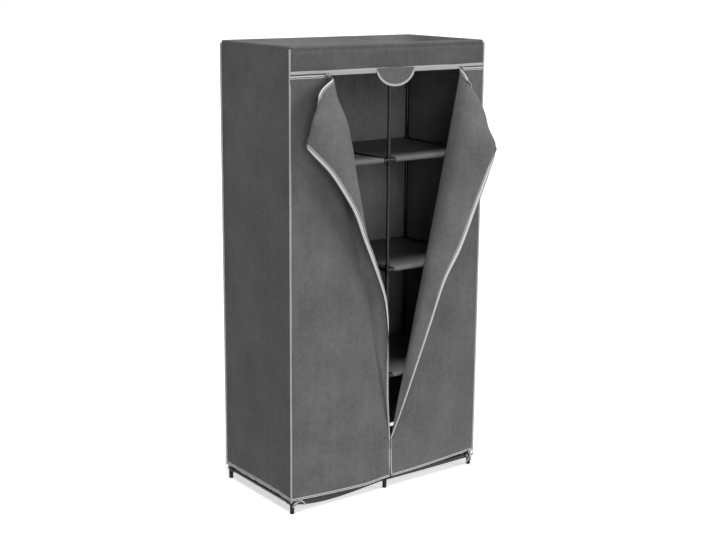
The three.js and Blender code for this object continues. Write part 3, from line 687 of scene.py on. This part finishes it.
def finPart(xSign, ySign, bottom, top):
    # an oval of tape down a vertical edge, leaning a little to and fro as it rises; the pinch is a bump
    # exp(-(distance from its height / reach)^6)
    leanX, leanY, reach, thick, aside = fins[xSign, ySign]
    height = np.linspace(bottom, top, finLine["steps"])
    share = np.linspace(0, 1, finLine["steps"])
    sway = finLine["sway"] * ripple(share * 3, 0 * share, 60 + xSign + 3 * ySign, fine=3)
    angle = math.atan2(ySign * leanY, xSign * leanX) + sway
    out = np.c_[np.cos(angle), np.sin(angle), 0 * angle]
    pinch = np.exp(-((height - finPinch["height"]) / finPinch["reach"]) ** 6) * (ySign < 0)
    corner = np.c_[xSign * (halfWidth + aside * pinch), 0 * pinch + ySign * halfDepth, height]
    turn = np.linspace(0, 2 * np.pi, 13)[:-1]
    profile = np.c_[reach * np.cos(turn), thick * np.sin(turn)]
    thin = 1 - finPinch["share"] * pinch[:, None]
    return sweepPart(corner + out * (reach - finLine["inset"]), out * thin,
                     np.cross([0, 0, 1.0], out) * thin, profile)


hem = {"front": 8, "side": 14, "back": 8, "sideDrop": 6, "sideSlope": 1.5}
pucker = {"depth": 1.3, "fade": 45, "pitch": 62}
wallRows = np.sin(np.linspace(0, np.pi / 2, 161))[:, None]   # closer together towards the roof


def wallHeights(place, half, low, share):
    # from the lower edge to where the roof's rounded edge begins
    topZ = cover["top"] - cover["edgeRadius"] - edgeDrop(place, half)
    return low + (topZ - low) * share


def sideGrid(sign):
    # x stands off by a seeded ripple and, low down, by small upright puckers that fade upwards
    y = np.linspace(-halfDepth, halfDepth, 61)
    u = (y / halfDepth + 1) / 2
    low = cover["hemHeight"] - cover["droop"] * (1 - u) ** 4 * (sign < 0)
    z = wallHeights(y, halfDepth, low, wallRows)
    rise = np.exp(-(z - cover["hemHeight"]) / pucker["fade"])
    puckers = pucker["depth"] * rise * np.sin(2 * np.pi * y / pucker["pitch"])
    bulge = cover["bulge"] * (0.5 + ripple(u, wallRows, 7 + sign, fine=2.5)) * fade(wallRows, 0.08)
    x = sign * (halfWidth + np.maximum((bulge + puckers) * fade(u, 0.15), -1.2) - rimGroove(z))
    return joined(x, y, z)


for name, sign in (("left", -1), ("right", 1)):
    grid = sideGrid(sign)
    # the sides take the darker cloth, which is painted shade
    piece = addCoverCloth(f"side_{name}", [sheetPart(grid, flip=sign < 0)], shadedSideCloth, [f"cover_side_{name}"])
    drop = hem["sideDrop"] + hem["sideSlope"] * grid[0, :, 1] / halfDepth
    parts = [bandPart(grid[0] - np.c_[0 * grid[0, :, :2], drop], [0, 0, 1.0], [sign, 0, 0], hem["side"])]
    finTop = cover["top"] - 2 * cover["edgeRadius"] + 2
    for end, column in ((-1, 0), (1, -1)):
        parts.append(finPart(sign, end, grid[0, column, 2] - finLine["below"], finTop))
    trim = addPiece(f"trim_side_{name}", parts, [bindingTape], fixedBody)


def backGrid():
    # y stands off by a seeded ripple that fades towards the edges
    x = np.linspace(-halfWidth, halfWidth, 101)
    u = (x / halfWidth + 1) / 2
    z = wallHeights(x, halfWidth, hemAt(x), wallRows)
    bulge = cover["bulge"] * (0.5 + ripple(u, wallRows, 31, fine=3)) * fade(wallRows, 0.08) * fade(u, 0.1)
    return joined(x, halfDepth + np.maximum(bulge, -0.8) - rimGroove(z), z)


grid = backGrid()
back = addCoverCloth("back", [sheetPart(grid, flip=True)], coverCloth, ["cover_back_panel"],
                     # the back's inside carries painted light: its reverse is painted pale for light through
                     # the cloth
                     inside=backReverseWithPaintedLight)
trim = addPiece("trim_back", [bandPart(grid[0], [0, 0, 1.0], [0, 1.0, 0], hem["back"])], [bindingTape],
                fixedBody)
print("sides and back made")


# Valance, with the upper halves of the top zips

zips = {"x": 18, "height": 1601, "coil": 5, "valanceBottom": 1603.5, "doorTop": 1598.2, "openingLeft": -275,
        "openingRight": 323, "openingBottom": 188, "ends": 436, "openDrop": 5, "bandWidth": 10.5,
        "doorBand": 9.6}
# a tape's two edges; a coil's middle, half width and height
zipProfiles = {"closed": ((-9, 9), (0, 2.3, 1.5)), "open": ((-1, 8), (-1.2, 1.3, 1.3))}
upward, forward, zipY = [0, 0, 1.0], [0, -1.0, 0], -halfDepth


def tapeProfile(low, high):
    return np.array([(low, -0.3), (high, -0.3), (high, 0.3), (low, 0.3)])


def coilProfile(middle, half, height):
    # half an oval on the face of the tape
    angle = np.linspace(0, np.pi, 9)
    arch = np.c_[middle + half * np.cos(angle), 0.2 + height * np.sin(angle)]
    return np.vstack([arch, [(middle - half, -0.4), (middle + half, -0.4)]])


def valanceGrid():
    # y stands off by a seeded ripple that fades towards the ends and the zip
    x = np.linspace(-halfWidth, halfWidth, 121)
    u = (x / halfWidth + 1) / 2
    v = np.linspace(0, 1, 33)[:, None]
    z = wallHeights(x, halfWidth, zips["valanceBottom"], v)
    bulge = 1.4 * (0.6 + ripple(u, v * 0.3, 12, fine=4)) * fade(v, 0.3) * fade(u, 0.06)
    return joined(x, rimGroove(z) + zipY - np.maximum(bulge, -0.6), z)


def zipRun(kind, start, end, side):
    # tape and coil from start to end; side points from the coil to the tape's sewn edge
    path = np.linspace(start, end, 41)
    tape, coil = zipProfiles[kind]
    return [sweepPart(path, side, forward, tapeProfile(*tape), 0),
            sweepPart(path, side, forward, coilProfile(*coil), 1)]


grid = valanceGrid()
# the valance takes the darker cloth, which is painted shade
valance = addCoverCloth("valance", [sheetPart(grid)], shadedValanceCloth, ["cover_valance"])
band = addPiece("trim_valance", [bandPart(grid[0], upward, forward, zips["bandWidth"])], [bindingTape],
                fixedBody)
parts = []
for kind, start, end in (("closed", -zips["ends"], zips["openingLeft"]),
                         ("closed", zips["openingRight"], zips["ends"]),
                         ("open", zips["openingLeft"], zips["openingRight"])):
    z = zips["height"] - (zips["openDrop"] if kind == "open" else 0)
    parts += zipRun(kind, (start, zipY, z), (end, zipY, z), upward)
topZip = addPiece("zip_top_runs", parts, [zipTape, coilNylon], fixedBody)

parts = zipRun("closed", (zips["x"], zipY, hemAt(zips["x"]) + 1),
               (zips["x"], zipY, zips["openingBottom"] + 2), [1.0, 0, 0])
addPiece("zip_middle_run", parts, [darkZipTape, coilNylon], fixedBody, ["zip_middle_closed"])


# Doors: each front panel runs on over its fold line into the flap that is turned back

# pushes: shift, then row, its reach, column and its reach, as shares. edge: places of the free edge outwards,
# forwards and upwards, as shares of the opening. leave and reach: the ways a row leaves the fold line and
# comes in at the free edge, by the height's share. slack: a row's length over its straight distance
leftDoor = {
    "name": "left", "side": -1, "openingX": zips["openingLeft"], "seed": 41,
    "pushes": [((-52, -10, 0), 0.96, 0.045, 0.56, 0.22), ((-34, -6, 9), 1, 0.06, 0.31, 0.17),
               ((32, 20, 0), 1, 0.04, 0.74, 0.25), ((16, -5, 6), 1, 0.04, 0.09, 0.06)],
    "edge": [(0, 0, 0), (0.08, 0.05, 0.126), (0.115, 0.08, 0.283), (0.155, 0.1, 0.354), (0.222, 0.125, 0.412),
             (0.34, 0.15, 0.469), (0.46, 0.17, 0.521), (0.61, 0.195, 0.583), (0.765, 0.215, 0.653),
             (0.945, 0.23, 0.708), (1.147, 0.23, 0.763), (1.46, 0.2, 0.831), (1.36, 0.12, 0.836),
             (1.22, 0.07, 0.845)],
    "leave": [(0, 0.5, 0.86, 0), (0.3, 0.45, 0.89, 0), (0.45, 0.75, 0.66, 0), (0.7, 0.9, 0.43, 0),
              (0.86, 0.88, 0.45, 0), (0.94, 0.5, 0.8, -0.2), (1, -0.2, 0.85, -0.5)],
    "reach": [(0, -0.8, -0.3, 0), (0.06, -0.8, -0.35, 0), (0.15, -0.8, -0.5, -0.1), (0.22, -0.5, -0.7, 0.1),
              (0.28, 0.1, -0.7, 0.4), (0.35, 0.6, -0.2, 0.6), (0.5, 0.75, 0.3, 0.55), (0.8, 0.66, 0.42, 0.62),
              (0.88, 0.4, 0.45, 0.75), (0.94, -0.2, 0.4, 0.87), (1, -0.7, 0.3, 0.75)],
    "slack": [(0, 1.1), (0.5, 1.1), (0.6, 1.2), (0.72, 1.4), (0.82, 1.4), (1, 1.22)],
}
rightDoor = {
    "name": "right", "side": 1, "openingX": zips["openingRight"], "seed": 52,
    "pushes": [((36, -3, 0), 0.934, 0.062, 0.47, 0.2), ((-24, 18, 0), 1, 0.04, 0.55, 0.32),
               ((1, -3, 5), 0.875, 0.03, 0.9, 0.15), ((12, -4, 0), 0.972, 0.02, 0.36, 0.13)],
    "edge": [(0, 0, 0), (0.118, 0.05, 0.074), (0.246, 0.12, 0.173), (0.466, 0.19, 0.322),
             (0.649, 0.245, 0.444), (0.845, 0.28, 0.522), (1.075, 0.305, 0.639), (1.252, 0.311, 0.725),
             (1.338, 0.305, 0.783), (1.2, 0.19, 0.805), (1.02, 0.06, 0.847)],
    "leave": [(0, 0.6, 0.8, 0), (0.4, 0.35, 0.93, 0), (0.9, 0.05, 0.98, -0.15), (1, -0.4, 0.8, -0.4)],
    "reach": [(0, 0.8, -0.5, 0.2), (0.4, 0.8, -0.4, 0.25), (0.7, 0.72, -0.3, 0.36), (0.8, 0.66, -0.1, 0.48),
              (0.86, 0.4, 0.3, 0.7), (0.91, 0, 0.5, 0.86), (1, -0.7, 0.4, 0.7)],
    "slack": [(0, 1.12), (0.6, 1.15), (0.85, 1.2), (1, 1.15)],
}
doorGrid = {"panelColumns": 56, "flapColumns": 44, "rowsBelow": 18, "rowsAbove": 110, "panelEase": 1.6,
            "flapEase": 1.25, "smoothing": 60, "foldReach": 24, "footSpread": 5, "lift": 1.2, "wave": 1.8}
doorEdge = {"binding": 14.5, "tape": (-2.2, 4), "coil": (-2.2, 1.2, 1.2)}
bandShare = [(0, 0.3), (0.12, 0.42), (0.3, 0.5), (0.42, 0.62), (0.5, 0.82), (0.56, 1), (1, 1)]


def valuesAt(table, share):
    # a table's columns at shares of its first column, in straight lines between its rows
    table = np.array(table, float)
    return np.stack([np.interp(share, table[:, 0], column) for column in table[:, 1:].T], -1)


def smoothCurve(points, share):
    # a cubic through the points whose knots are the square roots of the steps between them, which keeps it
    # free of loops, read at shares of its length
    full = np.vstack([2 * points[0] - points[1], points, 2 * points[-1] - points[-2]])
    knots = np.sqrt(np.linalg.norm(np.diff(full, axis=0), axis=1))[:, None]
    before, here, after = knots[:-2], knots[1:-1], knots[2:]
    a, b, c, d = full[:-3], full[1:-2], full[2:-1], full[3:]
    slopeIn = ((b - a) / before - (c - a) / (before + here) + (c - b) / here) * here
    slopeOut = ((c - b) / here - (d - b) / (here + after) + (d - c) / after) * here
    t = np.linspace(0, 1, 60, endpoint=False)[None, :, None]
    b, c, slopeIn, slopeOut = (part[:, None] for part in (b, c, slopeIn, slopeOut))
    curve = b + slopeIn * t + (3 * (c - b) - 2 * slopeIn - slopeOut) * t**2 + (
        2 * (b - c) + slopeIn + slopeOut) * t**3
    curve = np.vstack([curve.reshape(-1, 3), points[-1:]])
    reach = lengthsAlong(curve)
    return np.stack([np.interp(share * reach[-1], reach, column) for column in curve.T], -1)


def flapCurves(start, leave, end, reach, length, share):
    # cubic rows whose two equal handles are halved in on until each row has its set length
    def curve(handle, t):
        t = t[None, :, None]
        handle = handle[:, None]
        first, second = start + leave * handle, end + reach * handle
        return ((1 - t)**3 * start[:, None] + 3 * (1 - t)**2 * t * first[:, None]
                + 3 * (1 - t) * t**2 * second[:, None] + t**3 * end[:, None])
    low, high = np.zeros(len(start)), 2 * length
    for _ in range(24):
        handle = (low + high) / 2
        steps = np.diff(curve(handle, np.linspace(0, 1, 80)), axis=1)
        short = np.linalg.norm(steps, axis=-1).sum(1) < length
        low, high = np.where(short, handle, low), np.where(short, high, handle)
    return curve(low, share)


def doorRows(door):
    # panel rows from the corner to the fold line, and flap rows from the fold line to the free edge
    side = door["side"]
    width = abs(zips["x"] - door["openingX"])
    bottom = zips["openingBottom"]
    share = np.linspace((zips["coil"] / 2 + 0.3) / width, 1, doorGrid["rowsAbove"] + 1)
    fold = np.c_[zips["x"] + side * width * share, 0 * share + zipY,
                 bottom + (zips["doorTop"] - bottom) * share]
    across, out, up = np.array(door["edge"]).T
    marks = np.c_[zips["x"] + side * across * width, zipY - out * width,
                  bottom + up * (zips["height"] - bottom)]
    end = smoothCurve(marks, share)
    toFrame = np.array([-side, -1, 1])
    leave, reach = (unit(valuesAt(door[key], share) * toFrame) for key in ("leave", "reach"))
    length = valuesAt(door["slack"], share)[:, 0] * np.linalg.norm(end - fold, axis=1)
    columns = np.linspace(0, 1, doorGrid["flapColumns"] + 1) ** doorGrid["flapEase"]
    flap = flapCurves(fold, leave, end, reach, length, columns)
    # soft pushes: shift * exp(-(rows from the middle / reach)^2) * exp(-(columns from the middle / reach)^2)
    for shift, row, rowReach, column, columnReach in door["pushes"]:
        bump = np.exp(-((share[:, None] - row) / rowReach) ** 2 - ((columns - column) / columnReach) ** 2)
        flap += bump[..., None] * np.minimum(1, 12 * columns[:, None]) * shift
    cornerX = side * halfWidth
    toFold = 1 - (1 - np.linspace(0, 1, doorGrid["panelColumns"] + 1)) ** doorGrid["panelEase"]
    x = cornerX + (fold[:, :1] - cornerX) * toFold
    above = joined(x, zipY, fold[:, 2:])
    down = np.linspace(0, 1, doorGrid["rowsBelow"] + 1)[:-1, None]
    x = cornerX + (fold[0, 0] + doorGrid["footSpread"] * (1 - down) ** 3 - cornerX) * toFold
    z = frontHemAt(x) + (fold[0, 2] - frontHemAt(x)) * down
    return joined(x, zipY, z), above, flap


def smoothFold(above, flap):
    # rows are relaxed towards the mean of their neighbours, the more the nearer they lie to the fold
    rows = np.concatenate([above, flap[:, 1:]], 1)
    fold = above.shape[1] - 1
    away = lengthsAcross(rows)
    weight = np.exp(-((away - away[:, fold:fold + 1]) / doorGrid["foldReach"]) ** 2)[:, 1:-1, None]
    for _ in range(doorGrid["smoothing"]):
        mean = (rows[:, :-2] + rows[:, 2:]) / 2
        rows[:, 1:-1] += 0.5 * weight * (mean - rows[:, 1:-1])
    return rows[:, :fold + 1], rows[:, fold:]


def outOf(grid, side):
    # a door grid's outward normals: the cross product of its two slopes
    return unit(-side * np.cross(np.gradient(grid, axis=1), np.gradient(grid, axis=0)))


def doorTrim(door, panel, flap, rowsBelow):
    # bindings, with the zips' halves along the open stretches
    panelOut, flapOut = outOf(panel, door["side"]), outOf(flap, door["side"])
    # the middle zip's half: up the panel's lower edge and on along the flap's free edge, where the band turns
    # away towards the closed zip and is drawn narrower
    low = slice(rowsBelow)
    path, inside = (np.vstack([panel[low, column], flap[:, column]]) for column in (-1, -3))
    share = np.maximum(np.arange(len(path)) - rowsBelow, 0) / (len(path) - rowsBelow - 1)
    edges = [(path, inside, np.vstack([panelOut[low, -1], flapOut[:, -1]]), doorEdge["binding"], rowsBelow,
              valuesAt(bandShare, share))]
    # the top zip's half: from the corner along the panel's top edge and on along the flap's top edge
    path, inside = (np.vstack([panel[row, :-1], flap[row]]) for row in (-1, -2))
    edges.append((path, inside, np.vstack([panelOut[-1, :-1], flapOut[-1]]), zips["doorBand"],
                  panel.shape[1] - 1, 1))
    parts = []
    for path, inside, face, width, opening, narrowed in edges:
        inward, normal = edgeFrames(path, inside - path, face)
        inward = inward * narrowed
        parts.append(sweepPart(path, inward, normal, bindingProfile(width)))
        for profile, material in ((tapeProfile(*doorEdge["tape"]), 1), (coilProfile(*doorEdge["coil"]), 2)):
            parts.append(sweepPart(path[opening:], inward[opening:], normal[opening:], profile, material))
    parts.append(bandPart(panel[0], panel[1] - panel[0], panelOut[0], hem["front"]))
    return addPiece(f"trim_door_{door['name']}", parts, [seamedTape, zipTape, coilNylon], None)


def addDoor(door):
    # the panel and the flap, each with a seeded ripple, in one piece that bends along the fold line
    side, name, seed = door["side"], door["name"], door["seed"]
    below, above, flap = doorRows(door)
    above, flap = smoothFold(above, flap)
    panel = np.concatenate([below, above])
    u = np.linspace(0, 1, panel.shape[1])
    v = ((panel[..., 2] - 60) / 1540).clip(0, 1)
    lift = cover["bulge"] * doorGrid["lift"] * np.maximum(0.5 + ripple(u, v, seed, fine=2.6), -0.2)
    panel[..., 1] -= lift * fade(u, 0.25) * fade(v, 0.06)
    u = np.linspace(0, 1, flap.shape[1])
    v = np.linspace(0, 1, len(flap))[:, None]
    wave = doorGrid["wave"] * ripple(u, v * 2.5, seed + 1, fine=1.8) * fade(u, 0.25) * fade(v, 0.08)
    flap += outOf(flap, side) * wave[..., None]
    u = panel[..., 0] - panel[0, 0, 0]
    flapU = u[-len(flap):, -1:] - side * lengthsAcross(flap)
    parts = [gridPart(panel, u, panel[..., 2], flip=side > 0),
             gridPart(flap, flapU, panel[-len(flap):, -1:, 2], flip=side > 0)]
    cloth = addCoverCloth(f"door_{name}", parts, coverCloth, [f"front_panel_{name}", f"flap_{name}"],
                          body=None)
    trim = doorTrim(door, panel, flap, len(below))
    for piece in (cloth, trim):
        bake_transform(piece)


addDoor(leftDoor)
addDoor(rightDoor)
print("doors made")


# Half-round tab over the meeting point of the zips

tab = {"halfWidth": 88, "topZ": 1612, "bottomZ": 1545.2, "binding": 8, "front": -226.6, "lean": 2.2}


def tabGrid():
    # columns by the sine of an even angle, rows from the straight top edge down to the half ellipse
    turn = np.linspace(-np.pi / 2, np.pi / 2, 61)
    v = np.linspace(0, 1, 25)[:, None]
    x = zips["x"] + tab["halfWidth"] * np.sin(turn)
    z = tab["topZ"] - (tab["topZ"] - tab["bottomZ"]) * np.cos(turn) * v
    return joined(x, tab["front"] - tab["lean"] * v**2 * np.cos(turn), z)


grid = tabGrid()
tabCloth = addCoverCloth("tab", [sheetPart(grid, flip=True)], coverCloth, ["zip_tab"], body=None)
inner = grid[-2] - grid[-1] + [0, 0, 0.01]
tabTrim = addPiece("trim_tab", [bandPart(grid[-1], inner, forward, tab["binding"])], [bindingTape], None)
for piece in (tabCloth, tabTrim):
    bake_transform(piece)


# Zip sliders: the CAD's own shape, merged, with its edges rounded

slider = {"flatAngle": 0.02, "rounding": 0.0003}
for name in ("left", "right", "middle"):
    node = f"zip_slider_{name}"
    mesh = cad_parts[node].data.copy()
    merged = bmesh.new()
    merged.from_mesh(mesh)
    bmesh.ops.remove_doubles(merged, verts=merged.verts, dist=mend["weld"])
    bmesh.ops.dissolve_limit(merged, angle_limit=slider["flatAngle"], verts=merged.verts, edges=merged.edges)
    merged.to_mesh(mesh)
    merged.free()
    mesh.materials.clear()
    mesh.materials.append(sliderMetal)
    piece = addObject(f"slider_{name}", mesh)
    rounding = piece.modifiers.new("rounding", "BEVEL")
    rounding.width, rounding.segments, rounding.limit_method = slider["rounding"], 2, "ANGLE"
    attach(piece, f"slider_{name}")
    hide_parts(node)


# Ribbon ties: a turn round the corner socket, a strap up to the hem, a knot and its loose ends

tie = {"width": 6, "thick": 0.7, "turn": 9.3, "fromPost": 13.5, "knotStand": 2, "strapFoot": 18,
       "strapTop": 26}
# the knot's place along the rail and its rise, and each loose end's places from the knot
looseEnds = {
    "front_left": (8, 7, [
        [(0, 0, 0), (-10, -2, 1), (-20, -1.5, -6), (-28, -1, -17)],
        [(0, 0, 0), (11, -2.5, 1), (22, -2, -7), (30, -1, -18)],
        [(0, 0, 0), (-5, -3, 6), (-1, -4, 10), (5, -3, 6), (0, 0, 0)]]),
    "front_right": (12, 0, [
        [(0, 0, 0), (-7, -3, 13), (-11, -4, 27), (-4, -4, 25), (1, -2, 9), (0, 0, 0)],
        [(0, 0, 0), (8, -3, 4), (13, -3, 9), (17, -2, 11)],
        [(0, 0, 0), (-8, -3, -8), (-16, -3, -18), (-22, -2, -28)],
        [(0, 0, 0), (3, -3, -9), (5, -2, -20)]]),
    "back_left": (-3, 0, [
        [(0, 0, 0), (7, -2.5, 5), (16, -3, 6), (23, -1.5, 0.5), (17, -0.5, -5), (0, 0, 0)],
        [(0, 0, 0), (-7, -2, 4), (-16, -2.6, 5), (-22, -1, -1), (-16, -0.5, -7), (0, 0, 0)],
        [(0, 0, 0), (3.5, -2, -6), (6, -2, -13), (8.5, -3, -19)]]),
    "back_right": (4, 0, [
        [(0, 0, 0), (8, -2.5, 4), (17, -3, 3), (24, -1.5, -4), (16, -0.5, -8), (0, 0, 0)],
        [(0, 0, 0), (-9, -2, 3), (-19, -2, -5), (-25, -1, -15)],
        [(0, 0, 0), (-2, -2, -8), (1, -2, -15), (-1, -3, -22)]]),
}
knot = [(0, -3.6), (2.4, -3.4), (3.5, -1.8), (3.8, 0), (3.5, 1.8), (2.4, 3.4), (0, 3.6)]


def ribbonPart(path, across):
    # a flat ribbon along a path; across is the direction of its width
    half, thick = tie["width"] / 2, tie["thick"] / 2
    profile = np.array([(-half, -thick), (half, -thick), (half, thick), (-half, thick)])
    tangent = unit(np.gradient(path, axis=0))
    across = unit(across - np.sum(across * tangent, -1, keepdims=True) * tangent)
    return sweepPart(path, across, unit(np.cross(tangent, across)), profile)


def tieParts(offset, rise, ends):
    # drawn round the socket at a front corner: x along the rail, -y to the front, z up
    radius = tie["turn"]
    turn, share = np.linspace(0, 2 * np.pi, 33), np.linspace(0, 1, 33)
    knotPlace = [offset, -radius - tie["knotStand"], rise]
    strap = smoothCurve(np.array([
        (0, -radius, 0), (offset / 2, knotPlace[1], rise / 2), (offset, knotPlace[1], rise + 3),
        (offset, -radius + 0.5, tie["strapFoot"]), (offset, -radius + 0.8, tie["strapTop"])]), share)
    along = np.array([1.0, 0, 0])
    parts = [ribbonPart(np.c_[0 * turn, radius * np.sin(turn), radius * np.cos(turn)], along),
             ribbonPart(strap, along)]
    parts += [ribbonPart(smoothCurve(np.array(end, float) + knotPlace, share), np.array([0.5, 0.15, 0.8]))
              for end in ends]
    parts.append(turnedPart(knot, np.array(knotPlace) - [0, 0.6, 0], unit(np.array([1, 0.1, 0.25])),
                            sides=14))
    return parts


for row, y in rowY.items():
    for column, x in (("left", -postX), ("right", postX)):
        facing = 1 if row == "front" else -1
        place = [x - np.sign(x) * tie["fromPost"], y, levels["bottom"]]
        moved = [(points * [facing, facing, 1] + place, *rest)
                 for points, *rest in tieParts(*looseEnds[f"{row}_{column}"])]
        addPiece(f"tie_bow_{row}_{column}", moved, [ribbonCloth], fixedBody,
                 [f"tie_{row}_{column}"])
print("tab, sliders and ties made")


# Studio: pale floor, white background, soft light

# softboxes as wide suns: degrees right of the front, degrees up, brightness on a square surface, spread
softboxes = {"overhead": (-35, 76, 0.7, 0.35), "front": (-20, 8, 0.34, 0.6), "key": (50, 18, 0.44, 0.5)}
white = (1, 1, 1, 1)
studio = {"sky": 0.04, "floorTone": 0.7, "floorGlow": 0.62, "floorHalf": 40}


def seenRays(tree):
    # 1 for the rays that see the backdrop: straight, glossy and through glass
    rays = addNode(tree, "ShaderNodeLightPath")
    return ("MAXIMUM", rays["Is Camera Ray"], ("MAXIMUM", rays["Is Glossy Ray"], rays["Is Transmission Ray"]))


def addFloor():
    half, tone = studio["floorHalf"], studio["floorTone"]
    mesh = bpy.data.meshes.new("floor")
    corners = [(-half, -half, 0), (half, -half, 0), (half, half, 0), (-half, half, 0)]
    mesh.from_pydata(corners, [], [(0, 1, 2, 3)])
    material, tree = newMaterial("floor")
    feedShader(tree, {"Base Color": (tone, tone, tone, 1), "Roughness": 0.9, "Emission Color": white,
                      "Emission Strength": ("MULTIPLY", seenRays(tree), studio["floorGlow"])})
    mesh.materials.append(material)
    addObject("floor", mesh)


def addSoftbox(name, azimuth, elevation, strength, spread):
    data = bpy.data.lights.new(name, "SUN")
    data.energy, data.angle = math.pi * strength, spread
    light = addObject(name, data)
    turn, tilt = math.radians(azimuth), math.radians(elevation)
    source = Vector((math.sin(turn) * math.cos(tilt), -math.cos(turn) * math.cos(tilt), math.sin(tilt)))
    light.rotation_mode = "QUATERNION"
    light.rotation_quaternion = source.to_track_quat("Z", "Y")


def addWorld():
    # a dim sky for the light, and white where the backdrop is seen
    world = bpy.data.worlds.new("studio")
    world.use_nodes = True
    bpy.context.scene.world = world
    tree = world.node_tree
    sky = tree.nodes["Background"]
    feed(tree, white, sky.inputs["Color"])
    feed(tree, studio["sky"], sky.inputs["Strength"])
    backdrop = addNode(tree, "ShaderNodeBackground", {"Color": white, "Strength": 1.0})
    mix = addNode(tree, "ShaderNodeMixShader", {0: seenRays(tree), 1: sky.outputs[0], 2: backdrop[0]})
    feed(tree, mix[0], tree.nodes["World Output"].inputs["Surface"])


addFloor()
for name, values in softboxes.items():
    addSoftbox(name, *values)
addWorld()
bpy.context.scene.view_settings.view_transform = "Standard"
print("studio made")
